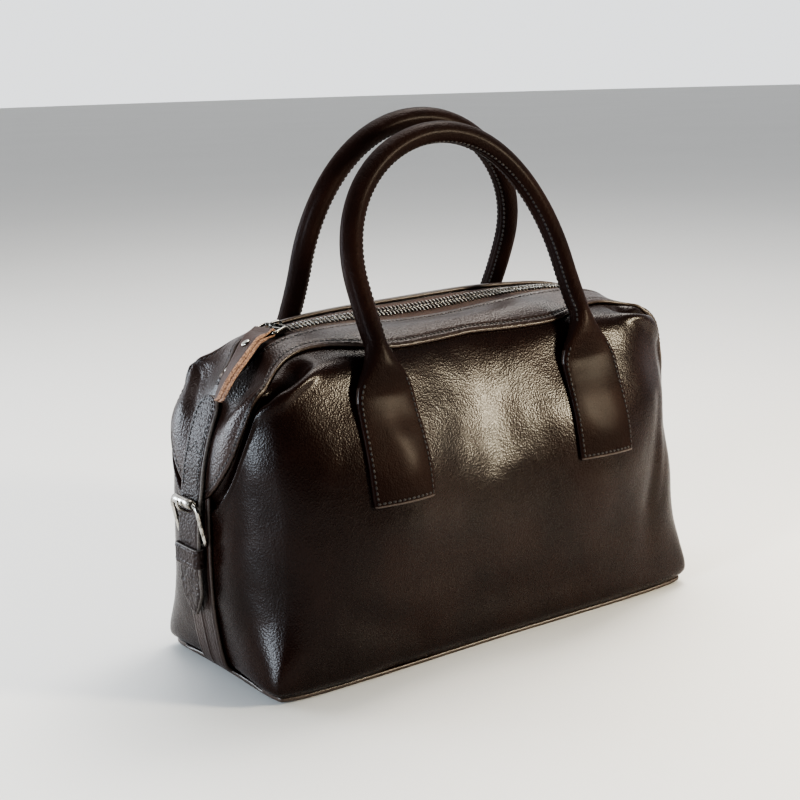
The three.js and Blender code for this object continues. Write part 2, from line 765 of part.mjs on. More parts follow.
function buckleFrame(side) {
  const middleZ = (BUCKLE_TOP.z + BUCKLE_HEEL.z) / 2;
  const halfHeight = (BUCKLE_TOP.z - BUCKLE_HEEL.z) / 2;
  const path = roundedRectangle(BUCKLE_HALF, halfHeight, BUCKLE_CORNER).map(([y, rise]) => {
    const share = (rise + halfHeight) / (2 * halfHeight);
    return endPoint(side, y, middleZ + rise, lerp(BUCKLE_HEEL.off, BUCKLE_TOP.off, share));
  });
  const slope = path[1].clone().sub(path[path.length - 2]);
  const normal = slope.setY(0).normalize().cross(new THREE.Vector3(0, 1, 0));
  return wire(path, normal, BUCKLE_WIRE, WIRE_SIDES, true);
}

function buckleRoller(side) {
  const centre = endPoint(side, 0, BUCKLE_TOP.z, BUCKLE_TOP.off);
  const ringAt = (radius) =>
    Array.from({ length: ROLLER.sides }, (_, k) => {
      const angle = (2 * Math.PI * k) / ROLLER.sides;
      const offset = new THREE.Vector3(radius * Math.cos(angle), 0, radius * Math.sin(angle));
      return [-ROLLER.half, ROLLER.half].map((y) => centre.clone().add(offset).setY(y));
    });
  return wall(ringAt(ROLLER.radius), ringAt(ROLLER.bore), true);
}

function buckleProng(side) {
  const knots = PRONG_PATH.map(([z, off]) => endPoint(side, 0, z, off));
  const path = new THREE.CatmullRomCurve3(knots).getPoints(PRONG_STEPS);
  return wire(path, new THREE.Vector3(0, 1, 0), PRONG_RADIUS, PRONG_SIDES, false);
}

function strapKeeper(side) {
  const { low, high, wall: thick, clear, beside, round } = KEEPER;
  const inner = tableValue(STRAP_ROWS, (low + high) / 2);
  const halfDepth = STRAP_THICK / 2 + clear;
  const middle = inner + STRAP_THICK / 2;
  const half = STRAP_HALF + beside;
  const loop = (grow) =>
    roundedRectangle(half + grow, halfDepth + grow, Math.min(round, halfDepth) + grow / 2).map(([y, depth]) =>
      [low, high].map((z) => endPoint(side, y, z, middle + depth)),
    );
  return wall(loop(thick), loop(0), true);
}

// Zip

function zipTape() {
  const across = [
    [-1, TAPE_LEVEL],
    [-1, SLOT],
    [1, SLOT],
    [1, TAPE_LEVEL],
  ];
  const grid = (off) =>
    Array.from({ length: TAPE_STEPS + 1 }, (_, i) => {
      const x = lerp(-TAPE_END, TAPE_END, i / TAPE_STEPS);
      const { normal } = zipFrame(x);
      return across.map(([face, level]) => sidePoint(face, x, level).addScaledVector(normal, off));
    });
  return wall(grid(-TAPE_SINK), grid(-TAPE_SINK - TAPE_THICK));
}

function zipBand(x, y, off) {
  const { point, across, normal } = zipFrame(x);
  return point.addScaledVector(across, y).addScaledVector(normal, off);
}

function zipTeeth() {
  const grid = (off) =>
    Array.from({ length: TEETH_STEPS + 1 }, (_, i) => {
      const x = lerp(-TEETH_END, TEETH_END, i / TEETH_STEPS);
      return [-TEETH_HALF, TEETH_HALF].map((y) => zipBand(x, y, off));
    });
  return wall(grid(TEETH_HIGH), grid(TEETH_LOW));
}

function zipStop(side) {
  const grid = (off) =>
    [-1, 1].map((end) => {
      const x = side * (STOP.x + (end * STOP.length) / 2);
      return [-STOP.half, STOP.half].map((y) => zipBand(x, y, off));
    });
  return wall(grid(STOP.high), grid(STOP.low));
}

// The slider, in a frame whose x runs along the zip and whose z is the zip's normal
function zipSlider() {
  const { length, half, cheek, roof, top } = SLIDER;
  const plate = boxSolid(-length / 2, length / 2, -half, half, roof, top);
  const cheeks = [-1, 1].map((side) => {
    const [y0, y1] = [side * cheek, side * half].sort((a, b) => a - b);
    return boxSolid(-length / 2, length / 2, y0, y1, TEETH_LOW, roof + LAP);
  });
  const reach = BRIDGE.length / 2;
  const crown = top + BRIDGE.under;
  const roofBar = boxSolid(-reach, reach, -BRIDGE.half, BRIDGE.half, crown, crown + BRIDGE.thick);
  const posts = [-1, 1].map((side) => {
    const [x0, x1] = [side * (reach - BRIDGE.thick), side * reach].sort((a, b) => a - b);
    return boxSolid(x0, x1, -BRIDGE.half, BRIDGE.half, top - LAP, crown + LAP);
  });
  return join(plate, ...cheeks, roofBar, ...posts);
}

// The pull, in a frame whose origin is the link's bar under the bridge and whose -x runs down the tab

function pullLink() {
  const halfLength = LINK.length / 2;
  const path = roundedRectangle(halfLength, LINK.half, LINK.corner).map(
    ([x, y]) => new THREE.Vector3(x - halfLength, y, 0),
  );
  return wire(path, new THREE.Vector3(0, 0, 1), LINK.wire, WIRE_SIDES, true);
}

// Middle line of the tab: a shallow arc that starts at the link's far bar and bends down
function tabLine(along) {
  const radius = TAB.length / TAB.bend;
  const angle = along / radius;
  const point = new THREE.Vector3(-LINK.length - radius * Math.sin(angle), 0, radius * (Math.cos(angle) - 1));
  const normal = new THREE.Vector3(-Math.sin(angle), 0, Math.cos(angle));
  return { point, normal };
}

// Two layers of leather that meet below the link and part round its far bar
function pullTab() {
  const half = TAB.half;
  const bore = LINK.wire + LINK.clear;
  const layerEdge = (along, sign) => {
    const { point, normal } = tabLine(along);
    return point.addScaledVector(normal, sign * TAB.layer);
  };
  const headRadius = bore + TAB.fold;
  const alongs = Array.from({ length: TAB_STEPS + 1 }, (_, i) => lerp(headRadius, TAB.length, i / TAB_STEPS));
  const head = HEAD_TURNS.map((degrees) => {
    const angle = degToRad(degrees);
    return new THREE.Vector3(-LINK.length + headRadius * Math.cos(angle), 0, headRadius * Math.sin(angle));
  });
  const outline = [
    ...alongs.map((along) => layerEdge(along, 1)).reverse(),
    ...head,
    ...alongs.map((along) => layerEdge(along, -1)),
  ];
  const shape = new THREE.Shape(outline.map((point) => new THREE.Vector2(point.x, point.z)));
  const eye = Array.from({ length: EYE_SIDES }, (_, k) => {
    const angle = (2 * Math.PI * k) / EYE_SIDES;
    return new THREE.Vector2(-LINK.length + bore * Math.cos(angle), bore * Math.sin(angle));
  });
  shape.holes.push(new THREE.Path(eye));
  const geometry = new THREE.ExtrudeGeometry(shape, { depth: 2 * half, bevelEnabled: false });
  return geometry.translate(0, 0, -half).rotateX(Math.PI / 2);
}

function pullRivet() {
  const { point, normal } = tabLine(RIVET.along);
  const low = TAB.layer + RIVET.clear;
  const profile = RIVET_PROFILE.map(([out, up]) => new THREE.Vector2(out * RIVET.half, up * RIVET.height));
  const geometry = new THREE.LatheGeometry(profile, RIVET.sides).rotateX(Math.PI / 2);
  const turn = new THREE.Quaternion().setFromUnitVectors(new THREE.Vector3(0, 0, 1), normal);
  return geometry.applyQuaternion(turn).translate(...point.addScaledVector(normal, low).toArray());
}

// Assembly

const bag = new THREE.Group();

function add(name, geometry, finish, parent = bag) {
  const mesh = new THREE.Mesh(geometry, new THREE.MeshStandardMaterial(FINISH[finish]));
  mesh.name = name;
  parent.add(mesh);
}

add('front_panel', bodyPanel(FRONT), 'leather');
add('back_panel', bodyPanel(BACK), 'leather');
add('base_panel', basePanel(), 'leather');
add('zip_yoke', zipYoke(), 'trim');
HANDLES.forEach((spec) => add(spec.name, handle(spec), 'trim'));
add('zip_tape', zipTape(), 'tape');
add('zip_teeth', zipTeeth(), 'metal');

[
  ['left', -1],
  ['right', 1],
].forEach(([name, side]) => {
  add(`end_strip_${name}`, endStrip(side), 'trim');
  add(`buckle_strap_${name}`, buckleStrap(side), 'strap');
  add(`buckle_frame_${name}`, buckleFrame(side), 'metal');
  add(`buckle_roller_${name}`, buckleRoller(side), 'metal');
  add(`buckle_prong_${name}`, buckleProng(side), 'metal');
  add(`strap_keeper_${name}`, strapKeeper(side), 'strap');
  add(`zip_stop_${name}`, zipStop(side), 'metal');
});

// The slider stands on the zip, and the pull hangs in its bridge, leaning to the front and down the lobe
const sliderFrame = zipFrame(SLIDER_X);
const sliderGroup = new THREE.Group();
sliderGroup.position.copy(sliderFrame.point);
const sliderTurn = new THREE.Matrix4().makeBasis(sliderFrame.along, sliderFrame.across, sliderFrame.normal);
sliderGroup.quaternion.setFromRotationMatrix(sliderTurn);
add('zip_slider', zipSlider(), 'metal', sliderGroup);

const pullGroup = new THREE.Group();
pullGroup.position.set(0, 0, SLIDER.top + BRIDGE.under / 2);
pullGroup.rotation.order = 'ZYX';
pullGroup.rotation.z = PULL_LEAN;
pullGroup.rotation.y = -PULL_DROP;
add('pull_link', pullLink(), 'metal', pullGroup);
add('pull_tab', pullTab(), 'pull', pullGroup);
add('pull_rivet', pullRivet(), 'metal', pullGroup);
sliderGroup.add(pullGroup);
bag.add(sliderGroup);

export default bag;
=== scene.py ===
# A soft leather handbag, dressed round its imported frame. Sizes are millimetres, and the meshes are in metres.
import math

import bmesh
import bpy
import numpy as np
from mathutils import Matrix, Vector, noise
from mathutils.bvhtree import BVHTree


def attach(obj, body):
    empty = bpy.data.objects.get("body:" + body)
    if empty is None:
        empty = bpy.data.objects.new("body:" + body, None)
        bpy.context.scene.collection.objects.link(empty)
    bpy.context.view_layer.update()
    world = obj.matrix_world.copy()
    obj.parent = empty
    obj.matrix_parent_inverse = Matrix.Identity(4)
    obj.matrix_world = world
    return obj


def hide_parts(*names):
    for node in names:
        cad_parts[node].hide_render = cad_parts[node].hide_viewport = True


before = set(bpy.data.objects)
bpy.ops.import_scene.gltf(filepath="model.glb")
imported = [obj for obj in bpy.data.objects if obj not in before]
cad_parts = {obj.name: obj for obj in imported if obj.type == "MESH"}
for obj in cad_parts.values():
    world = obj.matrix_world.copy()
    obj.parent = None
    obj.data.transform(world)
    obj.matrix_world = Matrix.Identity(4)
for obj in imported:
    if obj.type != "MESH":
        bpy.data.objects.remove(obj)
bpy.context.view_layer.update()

MM = 0.001

# Camera of the photograph: its place, its turns in radians, and its focal length in pixels of the frame
CAMERA_AT = (-520.1, -690.0, 324.2)
CAMERA_YAW, CAMERA_PITCH, CAMERA_ROLL = 0.6234, 0.2214, 0.0300
FOCAL_PIXELS = 1534.9
FRAME_PIXELS = 800
SENSOR = 36.0

# Leather thicknesses and the gap under a piece that is sewn on
GAP = 0.45
BODY_WALL = 2.0
BASE_THICK = 2.3
YOKE_THICK = 2.2
STRIP_THICK = 2.2
STRAP_THICK = 2.6
TAPE_THICK = 1.0

# Levels of the body: where its outline crosses the side's middle, the corner and the end's middle
LEVELS = [
    # level, sideY, sideZ, cornerX, cornerY, cornerZ, endX, endZ, round
    [0, 56.5, 2.75, 145.0, 55.5, 4.6, 146.5, 6.8, 6.0],
    [1, 60.5, 12.0, 147.5, 58.0, 12.5, 151.0, 14.5, 9.0],
    [2, 63.5, 45.0, 140.0, 55.0, 45.0, 155.5, 46.0, 20.0],
    [3, 64.0, 85.0, 138.0, 53.0, 86.0, 155.5, 84.0, 24.0],
    [4, 58.0, 122.0, 138.0, 50.0, 126.0, 153.5, 111.0, 22.0],
    [5, 48.0, 150.0, 136.5, 45.0, 155.0, 150.0, 127.0, 16.0],
    [6, 37.0, 170.0, 127.0, 41.0, 166.0, 145.5, 140.0, 12.0],
    [7, 26.0, 180.0, 127.0, 26.0, 166.0, 141.0, 150.0, 10.0],
    [8, 14.0, 186.0, 125.0, 13.0, 170.0, 138.5, 157.5, 8.0],
    [9, 9.5, 187.4, 124.5, 9.0, 171.5, 136.5, 162.0, 7.0],
]
HEM, MOUTH, SLOT = 0, 8, 9
SIDE_REACH, SIDE_DROP, END_DROP, CORNER_PULL, END_FLAT = 0.36, 2.9, 2.2, 0.85, 0.45
FRONT, BACK, ROUND = 0, 4, 8
SEAM_TRIM = 0.004

# Lower edge of the yoke: place round a quarter of the body, and level
YOKE_EDGE = [
    [0.0, 6.22], [0.2, 6.15], [0.38, 6.22], [0.5, 6.6], [0.6, 6.98], [0.7, 7.15], [0.8, 7.06], [0.9, 6.82],
    [0.97, 6.66], [1.03, 6.44], [1.07, 6.0], [1.11, 5.48], [1.17, 4.9], [1.28, 4.42], [1.4, 4.1],
    [1.58, 3.88], [1.78, 3.7], [2.0, 3.5],
]

# Sags of the top: the zip rolls over to the front, and its right end stays high
SAGS = [
    # x, y, halfWidth, halfDepth, rise
    [-12, -12, 98, 16.5, -8.0],
    [35, 14, 75, 14, 1.4],
    [95, 4, 30, 24, 1.2],
]

# Valley of the body leather along the yoke's edge, deepest in the ears, and the ridge beyond it
VALLEY = [
    # place, depth, reach, ridge
    [0.4, 0.15, 9.0, 0.0],
    [0.66, 0.15, 12.0, 0.0],
    [0.72, 0.5, 15.0, 0.3],
    [0.77, 4.0, 16.5, 1.3],
    [0.82, 7.5, 18.0, 1.8],
    [0.9, 9.0, 20.0, 2.0],
    [0.98, 8.6, 17.5, 2.0],
    [1.06, 6.8, 12.5, 1.7],
    [1.13, 4.6, 9.0, 1.2],
    [1.22, 3.8, 8.0, 1.0],
    [1.35, 4.2, 9.0, 1.1],
    [1.5, 4.2, 9.5, 1.0],
    [1.75, 3.0, 9.0, 0.7],
    [2.0, 1.5, 9.0, 0.2],
]
TUCK, TUCK_REACH = 0.9, 5.0
# Places where the valley starts; and as shares of its reach, where it falls, climbs and has its ridge
VALLEY_START, VALLEY_FALL, VALLEY_CLIMB = (0.2, 0.5), (0.0, 0.62), (0.68, 1.08)
RIDGE_AT, RIDGE_REACH = 1.25, 0.4

# Broad dents of the two faces, pushed in along the leather's normal
DENTS = [
    # face (-1 front, 1 back), x, z, halfWidth, halfHeight, depth
    [-1, -4, 128, 40, 42, 2.0],
    [-1, 112, 60, 16, 50, 2.0],
    [1, 0, 132, 62, 40, 3.0],
]

# Swells of the front under the handles' tabs, which leave a hollow between them
SWELLS = [
    # x, halfWidth towards the middle, halfWidth towards the end, foot, head, height
    [-68, 46, 46, 50, 160, 4.8],
    [72, 48, 46, 50, 162, 4.8],
]
SWELL_RISE, SWELL_FADE = 40, 55

# Slumps of the leather round the ears: a centre, how far it reaches, and how far it moves
SLUMPS = [
    # x, y, z, reach, dx, dy, dz
    [129, -41, 163, 24, 1.0, 1.0, 7.5],
    [133, -48, 142, 26, -2.0, 4.5, 0.0],
    [139, -48, 106, 30, -2.0, 2.5, 0.0],
    [-128, 42, 167, 11, -6.0, 1.0, 1.0],
    [-139, 36, 152, 16, 7.0, -1.0, 0.0],
    [139, 36, 152, 16, -4.0, -1.0, 0.0],
]

# Soft pleats: a line on a face from one point to another, its half width and depth
PLEATS = [
    # face, x0, z0, x1, z1, halfWidth, depth
    [-1, 128, 120, 112, 62, 8.0, 0.9],
    [-1, 134, 100, 124, 60, 6.0, 0.6],
    [-1, -104, 40, -60, 22, 14.0, 1.5],
    [-1, -20, 30, 50, 26, 16.0, 1.4],
    [1, 120, 118, 98, 60, 8.0, 1.6],
    [1, -124, 110, -112, 60, 7.0, 1.4],
]

PANEL_COLUMNS, PANEL_LOW_ROWS, PANEL_HIGH_ROWS = 140, 122, 14
CORNER_CROWDING = 0.35
YOKE_COLUMNS, YOKE_ROWS = 110, 44
# Calming of the ears: columns over which each grid is smoothed, the ears' place and reach, and their levels
PANEL_CALM, YOKE_CALM = 9, 7
EAR_PLACE, EAR_REACH, EAR_LEVELS = 1.03, 0.17, (4.6, 5.8)


# Curves

def lerp(a, b, t):
    return a + (b - a) * t


def smooth(x, low, high):
    t = np.clip((x - low) / (high - low), 0, 1)
    return t * t * (3 - 2 * t)


def bell(x):
    return np.exp(-2 * x * x)


def unit(v):
    return v / np.maximum(np.linalg.norm(v, axis=-1, keepdims=True), 1e-12)


def bezier(p0, p1, p2, p3, t):
    s = 1 - t
    return s**3 * p0 + 3 * s * s * t * p1 + 3 * s * t * t * p2 + t**3 * p3


def hermite(p0, slope0, p1, slope1, t):
    rise = t * t * (3 - 2 * t)
    return lerp(p0, p1, rise) + slope0 * t * (1 - t) ** 2 - slope1 * t * t * (1 - t)


def table(rows, x, column=1):
    """A smooth curve through a table's rows, read at x of its first column."""
    rows = np.asarray(rows, float)
    xs, ys = rows[:, 0], rows[:, column]
    last = len(xs) - 1
    before, after = np.maximum(np.arange(last + 1) - 1, 0), np.minimum(np.arange(last + 1) + 1, last)
    slopes = (ys[after] - ys[before]) / (xs[after] - xs[before])
    i = np.searchsorted(xs[1:-1], x, side="left")
    span = xs[i + 1] - xs[i]
    t = np.clip((x - xs[i]) / span, 0, 1)
    return hermite(ys[i], span * slopes[i], ys[i + 1], span * slopes[i + 1], t)


def solve(rising, target, low, high, steps=40):
    """Where a rising function reaches its target; works on arrays."""
    target = np.asarray(target, float)
    a, b = np.full(target.shape, float(low)), np.full(target.shape, float(high))
    for _ in range(steps):
        middle = (a + b) / 2
        less = rising(middle) < target
        a, b = np.where(less, middle, a), np.where(less, b, middle)
    return (a + b) / 2


def crowded(count, end):
    """Places from 0 to end, crowded round the corner at half way."""
    s = np.linspace(0, 1, count + 1)
    return (2 * s + (CORNER_CROWDING / np.pi) * np.sin(2 * np.pi * s)) * (end / 2)


def both_ways(places):
    """Places on both sides of the middle, from places on one side that start there."""
    return np.concatenate([-places[:0:-1], places])


def along_path(path):
    """Distance along a line of points, or up each column of a grid."""
    steps = np.linalg.norm(np.diff(path, axis=-2), axis=-1)
    return np.concatenate([np.zeros_like(steps[..., :1]), np.cumsum(steps, -1)], -1)


# Body surface

def quarter_point(place, level):
    """A point of the quarter with x and y positive, at a place from 0, the side's middle, to 2, the end's."""
    place, level = np.broadcast_arrays(np.asarray(place, float), np.asarray(level, float))
    columns = range(1, len(LEVELS[0]))
    side_y, side_z, corner_x, corner_y, corner_z, end_x, end_z, rounding = (
        table(LEVELS, level, c) for c in columns)
    pull = CORNER_PULL * rounding
    t = np.clip(place, 0, 1)
    side = np.stack([
        bezier(0, SIDE_REACH * corner_x, corner_x - pull, corner_x, t),
        bezier(side_y, side_y, corner_y + pull, corner_y, t),
        lerp(side_z, corner_z, t**SIDE_DROP),
    ], -1)
    t = np.clip(place - 1, 0, 1)
    steepest = END_DROP * np.abs(end_z - corner_z)
    slope = np.clip(SIDE_DROP * (corner_z - side_z), -steepest, steepest)
    end = np.stack([
        bezier(corner_x, corner_x + pull, end_x, end_x, t),
        bezier(corner_y, corner_y - pull, END_FLAT * corner_y, 0, t),
        hermite(corner_z, slope, end_z, 0, t),
    ], -1)
    return np.where((place <= 1)[..., None], side, end)


def quarter_place(around):
    turn = np.asarray(around, float) % ROUND
    quadrant = np.minimum((turn // 2).astype(int), 3)
    into = turn - 2 * quadrant
    return quadrant, np.where(quadrant % 2 == 0, into, 2 - into)


def plain_point(around, level):
    around, level = np.broadcast_arrays(np.asarray(around, float), np.asarray(level, float))
    quadrant, place = quarter_place(around)
    point = quarter_point(place, level)
    point[..., 0] *= np.where(quadrant > 1, -1, 1)
    point[..., 1] *= np.where((quadrant == 0) | (quadrant == 3), -1, 1)
    for x, y, half_width, half_depth, rise in SAGS:
        away = np.hypot((point[..., 0] - x) / half_width, (point[..., 1] - y) / half_depth)
        point[..., 2] += rise * bell(away)
    return point


def side_point(face, x, level):
    """A point of the front or back at x, on a level of the plain surface."""
    x, level = np.broadcast_arrays(np.asarray(x, float), np.asarray(level, float))
    place = solve(lambda w: quarter_point(w, level)[..., 0], np.abs(x), 0, 2)
    turn = np.where(x < 0, -place, place)
    return plain_point(FRONT + turn if face < 0 else BACK - turn, level)


def outward(around, level, across=0.01, up=0.01):
    """Outward normal of the plain surface; wide steps give a calmer one."""
    du = plain_point(around + across, level) - plain_point(around - across, level)
    dv = plain_point(around, np.minimum(level + up, SLOT)) - plain_point(around, np.maximum(level - up, HEM))
    return unit(np.cross(du, dv))


def grid_normals(grid):
    return unit(np.cross(np.gradient(grid, axis=0), np.gradient(grid, axis=1)))


def calmed(points, place, level, reach):
    """Values of a grid smoothed along its rows over the ears; reach is in columns."""
    share = (bell((place - EAR_PLACE) / EAR_REACH) * smooth(level, *EAR_LEVELS))[..., None]
    steps = np.arange(-2 * reach, 2 * reach + 1)
    weights = np.exp(-0.5 * (steps / reach) ** 2)
    mean = sum(w * np.roll(points, k, axis=0) for k, w in zip(steps.tolist(), weights)) / weights.sum()
    return lerp(points, mean, share)


def calm_surface(around, level, place, reach, across, up):
    """Points and normals of the plain surface, calmed over the ears."""
    points = calmed(plain_point(around, level), place, level, reach)
    return points, unit(calmed(outward(around, level, across, up), place, level, reach))


def slumped(points):
    """Points moved with the slumps of the leather round them."""
    moved = points.copy()
    for x, y, z, reach, dx, dy, dz in SLUMPS:
        away = np.linalg.norm(points - np.array([x, y, z]), axis=-1)
        moved += bell(away / reach)[..., None] * np.array([dx, dy, dz])
    return moved


def ripple(points, scale, seed):
    """Smooth noise from -1 to 1 at points, with lumps about scale wide."""
    shift = Vector((seed * 17.3, seed * -9.1, seed * 5.7))
    flat = points.reshape(-1, 3) / scale
    values = np.array([noise.noise(Vector(p) + shift) for p in flat])
    return values.reshape(points.shape[:-1])


def end_face(z):
    """Points of the end's middle line at heights, and normals."""
    level = solve(lambda v: quarter_point(2.0, v)[..., 2], z, HEM, SLOT)
    point = quarter_point(2.0, level)
    return point, outward(np.full(level.shape, 2.0), level)


def end_point(side, y, z, off):
    """A point beside the end's middle line, at a height, off the leather by a distance."""
    y, z, off = np.broadcast_arrays(*(np.asarray(v, float) for v in (y, z, off)))
    point, normal = end_face(z)
    moved = point + off[..., None] * normal
    return np.stack([side * moved[..., 0], y, moved[..., 2]], -1)


def end_place(y, level):
    return solve(lambda place: -quarter_point(place, level)[..., 1], -np.abs(y), 1, 2)


def zip_frame(x):
    """The zip's middle line at x: points, directions along it and across it, and normals."""
    x = np.asarray(x, float)

    def middle(at):
        return (side_point(-1, at, SLOT) + side_point(1, at, SLOT)) / 2

    along = unit(middle(x + 0.2) - middle(x - 0.2))
    normal = unit(np.cross(along, side_point(1, x, SLOT) - side_point(-1, x, SLOT)))
    return middle(x), along, np.cross(normal, along), normal


# Meshes
RIM_STEPS = 3
STITCH_PITCH, STITCH_LENGTH, STITCH_HALF, STITCH_HIGH = 2.9, 2.1, 0.58, 0.42
STITCH_SLANT, STITCH_LIFT = 0.12, 0.06


def add_piece(name, mesh, materials, replaces=(), body="bag"):
    """A smooth piece that rides on a body, takes the materials it is given and stands for CAD nodes.
    Its mesh is points and faces, and with more than one material also the number of each face's material."""
    points, faces, *kinds = mesh
    data = bpy.data.meshes.new(name)
    data.from_pydata((np.asarray(points) * MM).tolist(), [], [list(f) for f in faces])
    for item in materials:
        data.materials.append(item)
    if kinds:
        data.polygons.foreach_set("material_index", np.asarray(kinds[0], np.int32))
    data.polygons.foreach_set("use_smooth", np.ones(len(data.polygons), bool))
    work = bmesh.new()
    work.from_mesh(data)
    bmesh.ops.recalc_face_normals(work, faces=work.faces)
    work.to_mesh(data)
    work.free()
    piece = bpy.data.objects.new(name, data)
    bpy.context.scene.collection.objects.link(piece)
    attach(piece, body)
    if replaces:
        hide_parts(*replaces)


def grid_faces(spans, count, size):
    """Faces between closed sections; with as many spans as sections, the last section joins the first."""
    i, k = np.meshgrid(np.arange(spans), np.arange(size), indexing="ij")
    after, up = (i + 1) % count, (k + 1) % size
    corners = [i * size + k, after * size + k, after * size + up, i * size + up]
    return np.stack(corners, -1).reshape(-1, 4).tolist()


def shell(outer, inner, ring=False, bulge=0.7):
    """A leather wall between two grids [column, row] with rounded edges along its first and last rows.
    Gives points, faces and each face's kind: 0 leather, 1 cut edge."""
    columns, rows = outer.shape[:2]
    turns = np.linspace(0, np.pi, RIM_STEPS + 2)[1:-1]

    def rim(start, end, away):
        middle, half = (start + end) / 2, (start - end) / 2
        reach = np.linalg.norm(half, axis=-1, keepdims=True) * bulge
        return np.stack([middle + np.cos(a) * half + np.sin(a) * reach * away for a in turns], 1)

    top = rim(outer[:, -1], inner[:, -1], unit(outer[:, -1] - outer[:, -2]))
    foot = rim(inner[:, 0], outer[:, 0], unit(outer[:, 0] - outer[:, 1]))
    sections = np.concatenate([outer, top, inner[:, ::-1], foot], 1)
    size = sections.shape[1]
    second_rim = 2 * rows + RIM_STEPS - 1
    kinds_round = np.zeros(size, int)
    kinds_round[rows - 1:rows + RIM_STEPS] = 1
    kinds_round[second_rim:] = 1
    spans = columns if ring else columns - 1
    faces = grid_faces(spans, columns, size)
    kinds = np.tile(kinds_round, spans).tolist()
    if not ring:
        for start in (0, (columns - 1) * size):
            mirror = start + second_rim
            for j in range(rows - 1):
                faces.append([start + j, start + j + 1, mirror - j - 1, mirror - j])
            faces.append([start + rows - 1 + j for j in range(RIM_STEPS + 2)])
            faces.append([mirror + j for j in range(RIM_STEPS + 1)] + [start])
        kinds += [1] * (2 * (rows + 1))
    return sections.reshape(-1, 3), faces, kinds


def tube(sections, loop=False):
    """A solid through closed sections [section, point], with flat ends or closed on itself."""
    count, size = sections.shape[:2]
    faces = grid_faces(count if loop else count - 1, count, size)
    if not loop:
        faces += [list(range(size)), list(range((count - 1) * size, count * size))]
    return sections.reshape(-1, 3), faces


def wire(path, normal, radius, sides, loop=True):
    """A round wire bent along a plane path."""
    along = np.roll(path, -1, 0) - np.roll(path, 1, 0) if loop else np.gradient(path, axis=0)
    normal = np.broadcast_to(unit(np.asarray(normal, float)), path.shape)
    side = unit(np.cross(along, normal))
    turns = np.linspace(0, 2 * np.pi, sides, endpoint=False)[None, :, None]
    radius = np.broadcast_to(np.asarray(radius, float), path.shape[:1])[:, None, None]
    spokes = np.cos(turns) * side[:, None] + np.sin(turns) * normal[:, None]
    return tube(path[:, None] + radius * spokes, loop)


def rounded_rectangle(half_a, half_b, radius, per_corner, per_side):
    """Points round a rectangle with rounded corners, in a plane."""
    arcs = []
    for sign_a, sign_b, start in ((1, 1, 0), (-1, 1, 90), (-1, -1, 180), (1, -1, 270)):
        turn = np.radians(start + np.linspace(0, 90, per_corner))
        centre = np.array([sign_a * (half_a - radius), sign_b * (half_b - radius)])
        arcs.append(centre + radius * np.stack([np.cos(turn), np.sin(turn)], -1))
    share = np.linspace(0, 1, per_side + 1)[1:-1, None]
    points = []
    for arc, following in zip(arcs, arcs[1:] + arcs[:1]):
        points += [arc, lerp(arc[-1], following[0], share)]
    return np.concatenate(points)


def lump(half, round_a, round_b, sides, rings):
    """A closed rounded block: a round of 2 is an ellipsoid, more is boxier. Gives points and faces."""
    def swell(value, power):
        return np.sign(value) * np.abs(value) ** (2 / power)

    turn = np.linspace(0, 2 * np.pi, sides, endpoint=False)
    rise = np.linspace(-np.pi / 2, np.pi / 2, rings + 2)[1:-1, None]
    flat, height = swell(np.cos(rise), round_b), swell(np.sin(rise), round_b) + 0 * turn
    ring = np.stack([flat * swell(np.cos(turn), round_a), flat * swell(np.sin(turn), round_a), height], -1)
    points = np.concatenate([[[0, 0, -1]], ring.reshape(-1, 3), [[0, 0, 1]]])
    faces = [[0, 1 + (k + 1) % sides, 1 + k] for k in range(sides)]
    for r in range(rings - 1):
        for k in range(sides):
            a, b = 1 + r * sides + k, 1 + r * sides + (k + 1) % sides
            faces.append([a, b, b + sides, a + sides])
    first, top = 1 + (rings - 1) * sides, len(points) - 1
    faces += [[first + k, first + (k + 1) % sides, top] for k in range(sides)]
    return points * np.asarray(half, float), faces


def scatter(shape, centres, along, across, normal):
    """Copies of one small shape, each turned to its own axes, as one mesh."""
    points, faces = shape
    placed = centres[:, None]
    for column, axis in enumerate((along, across, normal)):
        placed = placed + points[None, :, column, None] * axis[:, None]
    shifts = np.arange(len(centres)) * len(points)
    return placed.reshape(-1, 3), [[v + s for v in f] for s in shifts.tolist() for f in faces]


def joined(*meshes):
    """Several meshes as one: points and faces."""
    points, faces, count = [], [], 0
    for mesh_points, mesh_faces in meshes:
        points.append(mesh_points)
        faces += [[v + count for v in f] for f in mesh_faces]
        count += len(mesh_points)
    return np.concatenate(points), faces


def stitches(path, normals, pitch=STITCH_PITCH):
    """A row of stitches along a line of points, each lying slightly askew."""
    distance = along_path(path)
    count = max(int(distance[-1] // pitch), 1)
    at = (np.arange(count) + 0.5) * distance[-1] / count

    def read(values, where):
        return np.stack([np.interp(where, distance, values[:, c]) for c in range(3)], -1)

    normal = unit(read(normals, at))
    along = unit(read(path, at + 0.5) - read(path, at - 0.5))
    along = unit(along + STITCH_SLANT * unit(np.cross(normal, along)))
    across = unit(np.cross(normal, along))
    grain = lump((STITCH_LENGTH / 2, STITCH_HALF, STITCH_HIGH), 2.4, 2.2, 10, 4)
    return scatter(grain, read(path, at) + STITCH_LIFT * normal, along, across, normal)


# Materials
MIX_FIRST, MIX_SECOND, MIX_COLOUR = 6, 7, 2


